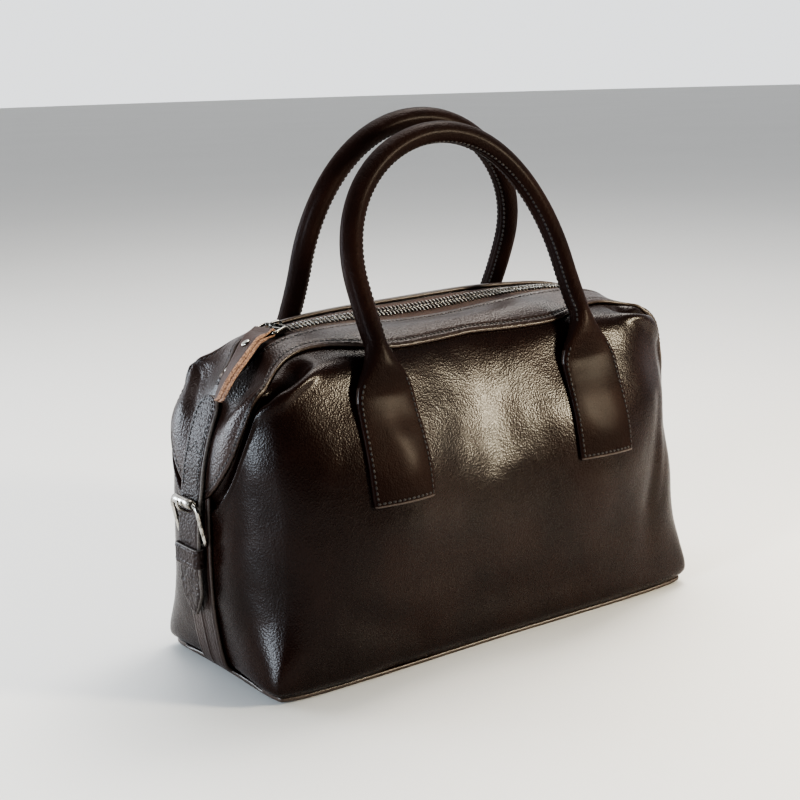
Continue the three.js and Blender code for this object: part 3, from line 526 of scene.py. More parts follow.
class Nodes:
    """The nodes of a material or a world, with short ways to add to them. Sizes are millimetres."""

    def __init__(self, owner):
        owner.use_nodes = True
        self.all, self.links = owner.node_tree.nodes, owner.node_tree.links

    def add(self, kind, vector=None, **values):
        item = self.all.new("ShaderNode" + kind)
        for name, value in values.items():
            if name in item.inputs:
                item.inputs[name].default_value = value
            else:
                setattr(item, name, value)
        if vector is not None:
            self.links.new(vector, item.inputs["Vector"])
        return item

    def ranged(self, value, low, high, to_low=0.0, to_high=1.0):
        item = self.add("MapRange", interpolation_type="SMOOTHSTEP")
        for socket, number in zip(("From Min", "From Max", "To Min", "To Max"), (low, high, to_low, to_high)):
            item.inputs[socket].default_value = number
        self.links.new(value, item.inputs["Value"])
        return item.outputs["Result"]

    def mixed(self, factor, first, second):
        mix = self.add("Mix", data_type="RGBA")
        mix.inputs[MIX_FIRST].default_value = (*first, 1)
        mix.inputs[MIX_SECOND].default_value = (*second, 1)
        self.links.new(factor, mix.inputs["Factor"])
        return mix.outputs[MIX_COLOUR]

    def bump(self, height, distance, strength, under=None):
        item = self.add("Bump", Strength=strength, Distance=distance * MM)
        self.links.new(height, item.inputs["Height"])
        if under is not None:
            self.links.new(under, item.inputs["Normal"])
        return item.outputs["Normal"]


class Look(Nodes):
    """A material with a Principled shader, whose textures lie in the object's own coordinates."""

    def __init__(self, name, base, roughness, **sockets):
        self.item = bpy.data.materials.new(name)
        super().__init__(self.item)
        self.shader = self.all["Principled BSDF"]
        self.place = self.all.new("ShaderNodeTexCoord").outputs["Object"]
        self.shader.inputs["Base Color"].default_value = (*base, 1)
        self.shader.inputs["Roughness"].default_value = roughness
        for socket, value in sockets.items():
            self.shader.inputs[socket.replace("_", " ")].default_value = value

    def feed(self, socket, output):
        self.links.new(output, self.shader.inputs[socket])

    def noise(self, size, detail, **values):
        return self.add("TexNoise", self.place, Scale=1 / (size * MM), Detail=detail, **values)

    def tone(self, texture, low, high, first, second):
        """Colours the material from the first colour to the second, as a texture goes from low to high."""
        self.feed("Base Color", self.mixed(self.ranged(texture.outputs["Fac"], low, high), first, second))


def leather(name, dark, light, roughness, grain=1.1, depth=0.10, crease=0.35, crease_size=14.0, shine=0.27):
    """Pebbled leather: fine cells, soft creases and slow changes of colour and gloss."""
    look = Look(name, dark, roughness, Specular_IOR_Level=shine, Coat_Weight=0.04, Coat_Roughness=0.25)
    warp = look.noise(2.6 * grain, 2.0)
    shift = look.add("VectorMath", operation="MULTIPLY_ADD")
    shift.inputs[1].default_value = (0.7 * grain * MM,) * 3
    look.links.new(warp.outputs["Color"], shift.inputs[0])
    look.links.new(look.place, shift.inputs[2])
    cells = look.add("TexVoronoi", shift.outputs[0], feature="SMOOTH_F1", Scale=1 / (grain * MM),
                     Smoothness=0.25)
    folds = look.noise(crease_size, 3.0, Roughness=0.5, Distortion=0.8)
    patches = look.noise(38, 3.0, Roughness=0.55)
    look.tone(patches, 0.3, 0.72, dark, light)
    gloss = look.ranged(cells.outputs["Distance"], 0.1, 0.75, roughness - 0.04, roughness + 0.05)
    look.feed("Roughness", gloss)
    soft = look.bump(folds.outputs["Fac"], crease, 0.7)
    look.feed("Normal", look.bump(cells.outputs["Distance"], -depth, 1.0, soft))
    return look.item


def fibres(name, dark, light, roughness, size=0.9, detail=4.0, coarse=0.7, bump=(0.12, 0.8), **sockets):
    """A cut edge, painted or raw, or thread, mottled by fine fibres."""
    look = Look(name, dark, roughness, **sockets)
    fibre = look.noise(size, detail, Roughness=coarse)
    look.tone(fibre, 0.35, 0.7, dark, light)
    look.feed("Normal", look.bump(fibre.outputs["Fac"], *bump))
    return look.item


def woven_tape(name, dark, light):
    """Cloth tape with fine ribs and fuzz."""
    look = Look(name, dark, 0.85, Sheen_Weight=0.25)
    ribs = look.add("TexWave", look.place, Scale=1 / (3.2 * MM), Distortion=0.6, wave_type="BANDS",
                    bands_direction="X")
    fuzz = look.noise(0.6, 3.0)
    look.tone(fuzz, 0.3, 0.7, dark, light)
    soft = look.bump(fuzz.outputs["Fac"], 0.15, 0.6)
    look.feed("Normal", look.bump(ribs.outputs["Fac"], 0.15, 0.8, soft))
    return look.item


def aged_metal(name, bright, dull, roughness):
    """Nickel plate that has dulled: tarnish in patches, and fine unevenness."""
    look = Look(name, bright, roughness, Metallic=1.0)
    tarnish = look.noise(3.5, 5.0, Roughness=0.65)
    look.tone(tarnish, 0.42, 0.72, bright, dull)
    rough = look.ranged(tarnish.outputs["Fac"], 0.35, 0.75, roughness - 0.08, roughness + 0.18)
    look.feed("Roughness", rough)
    marks = look.noise(0.8, 3.0)
    look.feed("Normal", look.bump(marks.outputs["Fac"], 0.05, 0.5))
    return look.item


BODY_LEATHER = leather(
    "body_leather", (0.0092, 0.0036, 0.0027), (0.0160, 0.0064, 0.0045), 0.27, depth=0.095, shine=0.21)
TRIM_LEATHER = leather(
    "trim_leather", (0.0200, 0.0100, 0.0078), (0.0310, 0.0155, 0.0115), 0.34,
    grain=1.25, depth=0.22, shine=0.33)
HANDLE_LEATHER = leather(
    "handle_leather", (0.0125, 0.0053, 0.0040), (0.0215, 0.0092, 0.0066), 0.47,
    grain=1.0, depth=0.20, crease=0.6, crease_size=6.0, shine=0.06)
STRAP_LEATHER = leather(
    "strap_leather", (0.0200, 0.0118, 0.0102), (0.0290, 0.0175, 0.0150), 0.34,
    grain=1.5, depth=0.36, shine=0.2)
TIP_LEATHER = leather(
    "strap_tip_leather", (0.0170, 0.0095, 0.0078), (0.0290, 0.0165, 0.0135), 0.35,
    grain=2.1, depth=0.5, crease=1.4, crease_size=4.0)
PULL_LEATHER = leather("pull_leather", (0.0330, 0.0150, 0.0110), (0.0500, 0.0235, 0.0170), 0.45, grain=1.0)
EDGE_PAINT = fibres("edge_paint", (0.036, 0.024, 0.019), (0.072, 0.050, 0.040), 0.36)
STRAP_EDGE = fibres("strap_edge", (0.075, 0.062, 0.055), (0.15, 0.13, 0.115), 0.45)
RAW_EDGE = fibres("raw_edge", (0.135, 0.072, 0.050), (0.46, 0.295, 0.21), 0.75)
THREAD = fibres(
    "thread", (0.0045, 0.0030, 0.0025), (0.012, 0.0075, 0.006), 0.5,
    size=0.5, detail=2.0, coarse=0.5, bump=(0.1, 0.7), Sheen_Weight=0.15)
TAPE = woven_tape("zip_tape", (0.032, 0.0098, 0.0058), (0.070, 0.0230, 0.0132))
METAL = aged_metal("aged_nickel", (0.50, 0.48, 0.44), (0.16, 0.145, 0.125), 0.27)
SLIDER_METAL = aged_metal("slider_nickel", (0.24, 0.23, 0.21), (0.08, 0.072, 0.062), 0.24)
TEETH_METAL = aged_metal("zip_nickel", (0.27, 0.255, 0.23), (0.075, 0.067, 0.058), 0.27)


# Leather body
HEM_CROWDING = 1.4
RIPPLE_FADE = (2, 14)
RIPPLES = [
    # size of the lumps, height, seed
    [46, 0.9, 1],
    [17, 0.35, 2],
]
RAY_START, MISSED_DEPTH = 200, 40


def pleat_depth(points):
    """How far the dents and pleats of the two faces push in, less what the swells push out."""
    x, y, z = points[..., 0], points[..., 1], points[..., 2]
    depth = np.zeros(x.shape)
    for face, at_x, at_z, half_width, half_height, deep in DENTS:
        away = np.hypot((x - at_x) / half_width, (z - at_z) / half_height)
        depth += (np.sign(y) == face) * deep * bell(away)
    for face, x0, z0, x1, z1, half_width, deep in PLEATS:
        run = np.array([x1 - x0, z1 - z0])
        t = np.clip(((x - x0) * run[0] + (z - z0) * run[1]) / (run @ run), 0, 1)
        away = np.hypot(x - x0 - t * run[0], z - z0 - t * run[1])
        depth += (np.sign(y) == face) * deep * bell(away / half_width)
    for at_x, inner, outer, foot, head, height in SWELLS:
        rising = smooth(z, foot, foot + SWELL_RISE) * (1 - smooth(z, head - SWELL_FADE, head))
        half_width = np.where(np.abs(x) > abs(at_x), outer, inner)
        depth -= (y < 0) * height * bell((x - at_x) / half_width) * rising
    return depth


def body_panel(middle):
    """Outer and inner grids of one body panel, with its valley along the yoke, its dents and its ripples."""
    places = both_ways(crowded(PANEL_COLUMNS, 2 - SEAM_TRIM))
    edge = table(YOKE_EDGE, np.abs(places))[:, None]
    low = 1 - (1 - np.linspace(0, 1, PANEL_LOW_ROWS + 1)) ** HEM_CROWDING
    high = np.linspace(0, 1, PANEL_HIGH_ROWS + 1)[1:]
    level = np.concatenate([edge * low, lerp(edge, MOUTH, high)], 1)
    around = (middle + places)[:, None] + np.zeros_like(level)
    place = np.abs(places)[:, None] + np.zeros_like(level)
    points, normal = calm_surface(around, level, place, PANEL_CALM, across=0.05, up=0.25)
    run = along_path(points)
    below = run[:, PANEL_LOW_ROWS:PANEL_LOW_ROWS + 1] - run
    depth, reach, ridge = (table(VALLEY, np.clip(place, VALLEY[0][0], 2), c) for c in (1, 2, 3))
    s = below / reach
    dip = depth * smooth(place, *VALLEY_START) * smooth(s, *VALLEY_FALL) * (1 - smooth(s, *VALLEY_CLIMB))
    rise = ridge * bell((s - RIDGE_AT) / RIDGE_REACH)
    push = np.where(below > 0, rise - dip, -TUCK * smooth(-below, 0, TUCK_REACH)) - pleat_depth(points)
    for size, height, seed in RIPPLES:
        push += smooth(below, *RIPPLE_FADE) * height * ripple(points, size, seed + middle)
    points = slumped(points + push[..., None] * normal)
    return points, points - BODY_WALL * grid_normals(points)


PANELS = {}
for panel_name, panel_middle in (("front_panel", FRONT), ("back_panel", BACK)):
    panel_mesh = shell(*body_panel(panel_middle))
    add_piece(panel_name + "_leather", panel_mesh, [BODY_LEATHER, EDGE_PAINT], [panel_name])
    PANELS[panel_middle] = BVHTree.FromPolygons(panel_mesh[0].tolist(), panel_mesh[1])


def cast(tree, face, x, z):
    """Where a line from outside the front or back first meets a mesh, and the normal there."""
    return tree.ray_cast(Vector((x, face * RAY_START, z)), Vector((0, -face, 0)))[:2]


def face_y(face, x, z):
    """Depth of the front or back panel at x and z."""
    tree = PANELS[FRONT if face < 0 else BACK]
    hits = [cast(tree, face, *at)[0] for at in zip(np.ravel(x), np.ravel(z))]
    return np.array([hit.y if hit else face * MISSED_DEPTH for hit in hits]).reshape(np.shape(x))


# Base plate
BASE_OUTSET, BASE_FLAT, BASE_END, BASE_HALF = -0.5, 100, 146, 55
LIFT_CORNER, LIFT_END = 1.95, 3.7
BASE_ENDS_AT = 1.4
BASE_COLUMNS, BASE_ROWS, BASE_RIM_POWER = 70, 40, 12


def base_plate():
    """Top and bottom grids of the base plate: columns along the bag, rows across it."""
    places = both_ways(crowded(BASE_COLUMNS, 2 * BASE_ENDS_AT) / 2)
    hem = plain_point(places, np.zeros_like(places))
    out = outward(places, np.zeros_like(places))
    out[:, 2] = 0
    rim = hem + BASE_OUTSET * unit(out)
    share = np.sin(np.linspace(-1, 1, BASE_ROWS + 1) * np.pi / 2)
    x = rim[:, :1] + 0 * share
    y = -rim[:, 1:2] * share
    ramp = smooth(np.abs(x), BASE_FLAT, BASE_END)
    lift = ramp * lerp(LIFT_END, LIFT_CORNER, np.minimum((y / BASE_HALF) ** 2, 1))
    at_rim = np.maximum(hem[:, 2:] - GAP, BASE_THICK)
    top = lerp(lift + BASE_THICK, at_rim, np.abs(share) ** BASE_RIM_POWER)
    grid = np.stack([x, y, top], -1)
    return grid, grid - np.array([0, 0, BASE_THICK])


add_piece("base_plate_leather", shell(*base_plate(), bulge=0.5), [BODY_LEATHER, EDGE_PAINT],
          ["base_panel"])


# Zip yoke
YOKE_DENTS = [
    # x, y, z, radius, depth
    [127, 19, 170, 13, 1.9],
    [140, 30, 150, 14, 1.2],
    [146, 16, 150, 10, 0.8],
]
YOKE_STITCH = 3.2
YOKE_CROWDING = 0.55
WAVE_HEIGHT, WAVE_FADE, WAVE_SIZE, WAVE_SEED = 0.45, (2, 9), 24, 5
EDGE_ROLL = 0.35


def sewn_edge(from_edge, roll_width, stitch, depth, width):
    """How far leather sinks near a sewn edge, which rolls down and is drawn in along its stitches."""
    return EDGE_ROLL * bell(from_edge / roll_width) + depth * bell((from_edge - stitch) / width)


def yoke_grids():
    """Distances up the yoke from its lower edge, its outer and inner grids, and its normals."""
    quarter = crowded(YOKE_COLUMNS, 2)
    turns = (quarter[:-1], 2 - quarter[:0:-1])
    around = np.concatenate([2 * n + turns[n % 2] for n in range(4)])
    edge = table(YOKE_EDGE, quarter_place(around)[1])[:, None]
    t = np.linspace(0, 1, YOKE_ROWS + 1)
    level = lerp(edge, SLOT, lerp(t, 0.5 - 0.5 * np.cos(np.pi * t), YOKE_CROWDING))
    around = around[:, None] + np.zeros_like(level)
    place = quarter_place(around)[1]
    plain, normal = calm_surface(around, level, place, YOKE_CALM, across=0.03, up=0.05)
    run = along_path(plain)
    from_edge = np.minimum(run, run[:, -1:] - run)
    lift = WAVE_HEIGHT * smooth(from_edge, *WAVE_FADE) * ripple(plain, WAVE_SIZE, WAVE_SEED)
    for *centre, radius, depth in YOKE_DENTS:
        lift -= depth * bell(np.linalg.norm(np.abs(plain) - np.array(centre), axis=-1) / radius)
    sunk = sewn_edge(from_edge, roll_width=1.3, stitch=YOKE_STITCH, depth=0.5, width=0.95)
    outer = plain + (GAP + YOKE_THICK + lift - sunk)[..., None] * normal
    inner = plain + (GAP + lift)[..., None] * normal
    return run, slumped(outer), slumped(inner), normal


yoke_run, yoke_outer, yoke_inner, yoke_normal = yoke_grids()
add_piece("zip_yoke_leather", shell(yoke_outer, yoke_inner, True, 0.55), [TRIM_LEATHER, EDGE_PAINT],
          ["zip_yoke"])


def yoke_line(distance, from_slot):
    """A closed line on the yoke at a distance from its lower edge or from the slot, and its normals."""
    run = yoke_run[:, -1:] - yoke_run if from_slot else yoke_run
    pick = np.argsort(run, axis=1)
    ordered = np.take_along_axis(run, pick, 1)
    lines = []
    for grid in (yoke_outer, yoke_normal):
        line = [
            [np.interp(distance, ordered[i], grid[i, pick[i], c]) for c in range(3)] for i in range(len(run))
        ]
        lines.append(np.array(line + line[:1]))
    return lines


yoke_rows = [stitches(*yoke_line(YOKE_STITCH, from_slot)) for from_slot in (False, True)]
add_piece("yoke_stitches", joined(*yoke_rows), [THREAD])


# Handles
TUBE_ROUND = 12.2
HANDLE_ROWS = [
    # z, width, thick, square, lift
    [97.5, 37.6, 1.7, 6.0, 1.35],
    [98.4, 39.0, 2.0, 6.0, 1.35],
    [100, 39.5, 2.0, 6.0, 1.35],
    [112, 40.0, 2.0, 6.0, 1.35],
    [128, 39.5, 2.2, 6.0, 1.5],
    [142, 38.5, 2.9, 5.0, 1.95],
    [152, 37.0, 4.6, 4.0, 3.0],
    [160, 31.0, 7.4, 3.0, 4.7],
    [167, 22.0, 10.2, 2.4, 6.6],
]
LEG_FOOT, LEG_FOOT_Y, ARCH_RISE = 177, 46.8, 76
HANDLES = [
    # name, face, half the span, sideways shift, height and depth of the top, how fast the legs lean inwards
    ["handle_front", -1, 71.5, -0.5, 282, 10, 1.6],
    ["handle_back", 1, 73.5, 5.5, 289, 16, 2.2],
]
TUBE_POINTS, OUTLINE_POINTS = 56, 721
# Rows of the round leg that guide its curve, and how far they go on past the arch's foot
GUIDE_ROWS, GUIDE_PAST = 6, 8
FOOT_SECTIONS, LEG_SECTIONS, ARCH_SECTIONS = 8, 95, 70
TAB_FOOT, FOOT_TOP, LEG_START = HANDLE_ROWS[0][0], 101, 102
CONFORM_FADE, SEAM_FADE = (150, 167), (165, 180)
TAB_STITCH, TAB_STITCH_TOP, TAB_SIDE_POINTS, TAB_FOOT_POINTS = 2.3, 160, 50, 22
# Painted edge of a tab: its width, and the heights up to which its sides and its whole foot have it
TAB_EDGE, EDGE_TOP, EDGE_FOOT = 0.5, 158, 98.6
# Seam of the tube: its depth, points from it to a row of stitches, and sections at each end without any
SEAM_DEPTH, SEAM_STITCH, SEAM_START = 0.5, 5, 72


def superellipse(width, thick, square):
    """A closed section: square is 2 for an ellipse and more for a flat strip; points are evenly spaced."""
    turn = np.linspace(0, 2 * np.pi, OUTLINE_POINTS)
    x = width / 2 * np.sign(np.cos(turn)) * np.abs(np.cos(turn)) ** (2 / square)
    y = thick / 2 * np.sign(np.sin(turn)) * np.abs(np.sin(turn)) ** (2 / square)
    run = along_path(np.stack([x, y], -1))
    at = np.arange(TUBE_POINTS) / TUBE_POINTS * run[-1]
    return np.interp(at, run, x), np.interp(at, run, y)


def half_handle(side, face, half_span, shift, top, top_y, leaning):
    """Sections of half a handle, from the tab's foot to the arch's top, and which points are cut edge."""
    leg_x = shift + side * half_span
    across = np.array([-side, 0, 0])

    def lean(z):
        return face * lerp(top_y, LEG_FOOT_Y, np.clip((top - z) / (top - LEG_FOOT), 0, None) ** leaning)

    arch = top - ARCH_RISE
    rows = np.array(HANDLE_ROWS, float)
    foot = face_y(face, np.full(len(rows), leg_x), rows[:, 0])
    normal_y = face / np.hypot(1, np.gradient(foot, rows[:, 0]))
    centre_y = foot + rows[:, 4] * normal_y
    guide = np.linspace(LEG_FOOT, arch + GUIDE_PAST, GUIDE_ROWS)
    round_rows = [[z, TUBE_ROUND, TUBE_ROUND, 2.0, lean(z)] for z in guide]
    spine = np.concatenate([np.column_stack([rows[:, :4], centre_y]), round_rows])
    leg = np.linspace(LEG_START, arch, LEG_SECTIONS + 1)[:-1]
    heights = np.concatenate([np.linspace(TAB_FOOT, FOOT_TOP, FOOT_SECTIONS), leg])
    width, thick, square, middle = (table(spine, heights, c) for c in (1, 2, 3, 4))
    tilt = np.gradient(middle, heights)
    sections, edges = [], []
    for i, z in enumerate(heights):
        x, out = superellipse(width[i], thick[i], square[i])
        x[0] -= SEAM_DEPTH * smooth(z, *SEAM_FADE)
        normal = np.array([0, face, -face * tilt[i]]) / math.hypot(1, tilt[i])
        section = np.array([leg_x, middle[i], z]) + x[:, None] * across + out[:, None] * normal
        conform = 1 - smooth(z, *CONFORM_FADE)
        if conform > 0:
            here = face_y(face, section[:, 0], np.full(TUBE_POINTS, z))
            section[:, 1] += conform * (here - face_y(face, [leg_x], [z])[0])
        sections.append(section)
        edges.append((np.abs(x) > width[i] / 2 - TAB_EDGE) & (z < EDGE_TOP) | (z < EDGE_FOOT))
    for angle in np.linspace(0, np.pi / 2, ARCH_SECTIONS):
        z = arch + ARCH_RISE * math.sin(angle)
        slant = math.atan2(half_span * math.sin(angle), ARCH_RISE * math.cos(angle))
        up = unit(np.array([0, lean(z) - lean(z - 1), 1.0]))
        normal = np.array([0, face * up[2], -face * up[1]])
        x, out = superellipse(TUBE_ROUND, TUBE_ROUND, 2.0)
        x[0] -= SEAM_DEPTH
        centre = np.array([shift + side * half_span * math.cos(angle), lean(z), z])
        turned = math.cos(slant) * across - math.sin(slant) * up
        sections.append(centre + x[:, None] * turned + out[:, None] * normal)
        edges.append(np.zeros(TUBE_POINTS, bool))
    return np.array(sections), np.array(edges)


def tab_line(tree, face, leg_x):
    """The stitch line of a tab, down one side, across the foot and up the other, and its normals."""
    heights = np.linspace(TAB_STITCH_TOP, TAB_FOOT + TAB_STITCH, TAB_SIDE_POINTS)
    half = table(HANDLE_ROWS, heights) / 2 - TAB_STITCH
    foot = np.linspace(-half[-1], half[-1], TAB_FOOT_POINTS + 2)[1:-1]
    x = leg_x + np.concatenate([-half, foot, half[::-1]])
    z = np.concatenate([heights, np.full(TAB_FOOT_POINTS, heights[-1]), heights[::-1]])
    line, normals = [], []
    for at in zip(x, z):
        hit, normal = cast(tree, face, *at)
        line.append(hit)
        normals.append(normal if normal.y * face > 0 else -normal)
    return np.array(line), np.array(normals)


for handle_name, handle_face, half_span, handle_shift, *handle_top in HANDLES:
    halves = [half_handle(s, handle_face, half_span, handle_shift, *handle_top) for s in (-1, 1)]
    handle_sections, cut_edges = (np.concatenate([a, b[-2::-1]]) for a, b in zip(*halves))
    handle_points, handle_faces = tube(handle_sections)
    handle_kinds = [int(cut_edges.ravel()[f].all()) for f in handle_faces]
    add_piece(handle_name + "_leather", (handle_points, handle_faces, handle_kinds),
              [HANDLE_LEATHER, EDGE_PAINT], [handle_name])
    handle_tree = BVHTree.FromPolygons(handle_points.tolist(), handle_faces)
    stitch_lines = [tab_line(handle_tree, handle_face, handle_shift + s * half_span) for s in (-1, 1)]
    tube_part = handle_sections[SEAM_START:-SEAM_START]
    for index in (SEAM_STITCH, -SEAM_STITCH):
        stitch_lines.append((tube_part[:, index], unit(tube_part[:, index] - tube_part.mean(1))))
    handle_rows = [stitches(*line) for line in stitch_lines]
    add_piece(handle_name + "_stitches", joined(*handle_rows), [THREAD])


# End strips, straps, buckles and keepers; side is -1 for the left end and 1 for the right
ENDS = (("left", -1), ("right", 1))
STRIP_HALF, STRIP_FOOT, STRIP_HEAD, STRIP_SHORT = 12.5, 0.12, 3.5, 0.05
STRIP_COLUMNS, STRIP_ROWS = 90, 40
# Seam down a strip: its depth and half width, and the height, place and half width of the welts beside it
STRIP_SEAM, STRIP_WELTS = (0.45, 0.5), (0.3, 1.5, 0.9)
STRAP_HALF, STRAP_TOP, STRAP_TIP, TIP_LENGTH, TIP_CURVE, TIP_BLUNT = 10, 153, 39, 13, 0.7, 0.12
STRAP_ROWS = [
    # z, distance of the strap's inner face from the body
    [39, 5.0], [55, 5.3], [72, 5.6], [88, 5.3], [98, 4.6], [108, 3.75], [120, 3.7], [153, 3.6],
]
# Lengths at the strap's tip and top where its columns are crowded
TIP_CROWDED, TOP_CROWDED = 14, 10
# Columns in a crowded length and between the two, points across, and how much these crowd to the edges
STRAP_EASED, STRAP_COLUMNS, STRAP_ACROSS, STRAP_CROWDING = 24, 120, 27, 0.35
STRAP_STITCH, STRAP_SEWN, STRAP_PITCH, STRAP_SUNK, STRAP_GROOVE = 2.5, 107, 2.8, 0.18, 0.25
LINE_STRAIGHT, LINE_ROUND, CHEVRON_STEPS = 60, 16, 12
STITCHED_FADE, WORN_FADE, WORN_BELOW = (102, 108), (70, 58), 66
WRINKLES = [
    # height, squeeze along the strap, size, seed
    [0.45, 1.6, 4.5, 11],
    [0.5, 1.0, 12, 12],
]
CHEVRON = [[-7.5, 126.5], [-4.2, 124.4], [0.0, 129.4], [4.2, 124.4], [7.5, 126.5]]
BUCKLE_TOP, BUCKLE_HEEL = (100, 9.9), (78, 4.05)
BUCKLE_HALF, BUCKLE_CORNER, BUCKLE_WIRE = 13.4, 4.0, 1.2
ROLLER_RADIUS, ROLLER_BORE, ROLLER_HALF = 2.5, 1.5, 9.4
# Rounding of the roller's rim: distance from its end, and how far it is under the roller's radius
ROLLER_RIM = [[0.0, 0.5], [0.1, 0.2], [0.4, 0.0]]
PRONG_PATH = [
    # step, z, distance from the body
    [0, 80.6, 4.05], [1, 89.0, 4.05], [2, 92.6, 5.2], [3, 95.0, 8.6], [4, 96.6, 12.0], [5, 98.6, 13.65],
    [6, 101.2, 13.75],
]
PRONG_RADIUS, PRONG_SECTIONS = 0.85, 40
# Rounding of the prong's tip, in steps of its path: its start, its length, and the share of it that is kept
PRONG_ROUND, PRONG_ROUND_LENGTH, PRONG_CUT = 5.7, 0.32, 0.95
KEEPER_LOW, KEEPER_HIGH, KEEPER_WALL = 66.4, 76.2, 1.7
KEEPER_CLEAR, KEEPER_BESIDE, KEEPER_ROUND, KEEPER_TIGHT, KEEPER_FLAT = 0.45, 0.65, 1.6, 0.2, 0.15
KEEPER_ROWS = 29
RIDGE_HEIGHT, RIDGE_INSET, RIDGE_HALF = 0.28, 1.5, 0.6


def end_strip(side):
    """Outer and inner grids of an end's strip: columns up it, rows across it."""
    share = np.linspace(-1, 1, STRIP_ROWS + 1)
    y = share * STRIP_HALF
    head = table(YOKE_EDGE, end_place(y, np.full(y.shape, STRIP_HEAD))) - STRIP_SHORT
    level = lerp(STRIP_FOOT, head, np.linspace(0, 1, STRIP_COLUMNS + 1)[:, None])
    place = end_place(y + 0 * level, level)
    around = 2 + np.sign(share) * (2 - place)
    plain, normal = plain_point(around, level), outward(around, level)
    (deep, narrow), (high, beside, wide) = STRIP_SEAM, STRIP_WELTS
    seam = deep * bell(y / narrow) - high * bell((np.abs(y) - beside) / wide)
    sunk = seam + sewn_edge(STRIP_HALF - np.abs(y), roll_width=1.2, stitch=2.8, depth=0.2, width=0.9)
    outer = plain + (GAP + STRIP_THICK - sunk)[..., None] * normal
    inner = plain + GAP * normal
    return outer * np.array([side, 1, 1]), inner * np.array([side, 1, 1])


def strap_half(z):
    from_top = np.clip((STRAP_TOP - z) / STRAP_HALF, 0, 1)
    from_tip = np.clip((z - STRAP_TIP) / TIP_LENGTH, 0, 1)
    rounded = np.minimum(np.sqrt(1 - (1 - from_top) ** 2), from_tip**TIP_CURVE)
    return STRAP_HALF * np.maximum(rounded, TIP_BLUNT)


def buckle_strap(side):
    """Outer and inner grids of a strap: columns up its length, rows across it."""
    ease = 1 - np.cos(np.linspace(0, np.pi / 2, STRAP_EASED))
    plain = np.linspace(STRAP_TIP + TIP_CROWDED + 1, STRAP_TOP - TOP_CROWDED - 1, STRAP_COLUMNS)
    z = np.concatenate([STRAP_TIP + TIP_CROWDED * ease, plain, STRAP_TOP - TOP_CROWDED * ease[::-1]])[:, None]
    even = np.linspace(-1, 1, STRAP_ACROSS)
    share = lerp(even, np.sin(even * np.pi / 2), STRAP_CROWDING)
    half = strap_half(z)
    y = half * share
    z = z + 0 * y
    off = table(STRAP_ROWS, z)
    groove = STRAP_GROOVE * smooth(z, *STITCHED_FADE)
    from_edge = half * (1 - np.abs(share))
    sunk = sewn_edge(from_edge, roll_width=1.3, stitch=STRAP_STITCH, depth=groove, width=0.9)
    flat = end_point(side, y, z, off)
    outer = off + STRAP_THICK - sunk
    for height, squeeze, size, seed in WRINKLES:
        outer += smooth(z, *WORN_FADE) * height * ripple(flat * np.array([1, 1, squeeze]), size, seed)
    return end_point(side, y, z, outer), flat


def strap_stitch_lines(side):
    """The stitch line up one edge of a strap, round its top and down, and the chevron across it."""
    shoulder, line_half = STRAP_TOP - STRAP_HALF, STRAP_HALF - STRAP_STITCH
    rounding = shoulder + line_half * np.sin(np.linspace(0, np.pi / 2, LINE_ROUND)[1:])
    z = np.concatenate([np.linspace(STRAP_SEWN, shoulder, LINE_STRAIGHT), rounding])
    half = np.sqrt(np.clip(line_half**2 - np.clip(z - shoulder, 0, None) ** 2, 0, None))
    edge = np.column_stack([np.concatenate([-half, half[::-1]]), np.concatenate([z, z[::-1]])])
    steps = np.linspace(0, 1, CHEVRON_STEPS)[:, None]
    corners = np.array(CHEVRON)
    zigzag = np.concatenate([lerp(a, b, steps) for a, b in zip(corners[:-1], corners[1:])])
    lines = []
    for y, z in (edge.T, zigzag.T):
        off = table(STRAP_ROWS, z) + STRAP_THICK - STRAP_SUNK
        line = end_point(side, y, z, off)
        lines.append((line, unit(end_point(side, y, z, off + 1) - line)))
    return lines


def buckle_frame(side):
    middle = (BUCKLE_TOP[0] + BUCKLE_HEEL[0]) / 2
    half = (BUCKLE_TOP[0] - BUCKLE_HEEL[0]) / 2
    flat = rounded_rectangle(BUCKLE_HALF, half, BUCKLE_CORNER, 10, 10)
    off = lerp(BUCKLE_HEEL[1], BUCKLE_TOP[1], (flat[:, 1] + half) / (2 * half))
    path = end_point(side, flat[:, 0], middle + flat[:, 1], off)
    top, heel = path[flat[:, 1].argmax()], path[flat[:, 1].argmin()]
    slope = unit((top - heel) * np.array([1, 0, 1]))
    return wire(path, np.cross(slope, [0, 1, 0]), BUCKLE_WIRE, 16)


def buckle_roller(side):
    rim = [[inset - ROLLER_HALF, ROLLER_RADIUS - under] for inset, under in ROLLER_RIM]
    left = np.array([[-ROLLER_HALF, ROLLER_BORE], *rim, [-ROLLER_HALF / 2, ROLLER_RADIUS]])
    along, out = np.concatenate([left, left[::-1] * np.array([-1, 1])]).T
    turn = np.linspace(0, 2 * np.pi, 32, endpoint=False)[:, None]
    ring = np.stack([out * np.cos(turn), along + 0 * turn, out * np.sin(turn)], -1)
    return tube(end_point(side, 0, *BUCKLE_TOP) + ring, True)


def buckle_prong(side):
    at = np.linspace(0, PRONG_PATH[-1][0], PRONG_SECTIONS)
    path = end_point(side, np.zeros(PRONG_SECTIONS), table(PRONG_PATH, at, 1), table(PRONG_PATH, at, 2))
    rounding = np.clip((at - PRONG_ROUND) / PRONG_ROUND_LENGTH, 0, PRONG_CUT)
    radius = PRONG_RADIUS * np.sqrt(1 - rounding**2)
    return wire(path, [0, 1, 0], radius, 14, False)


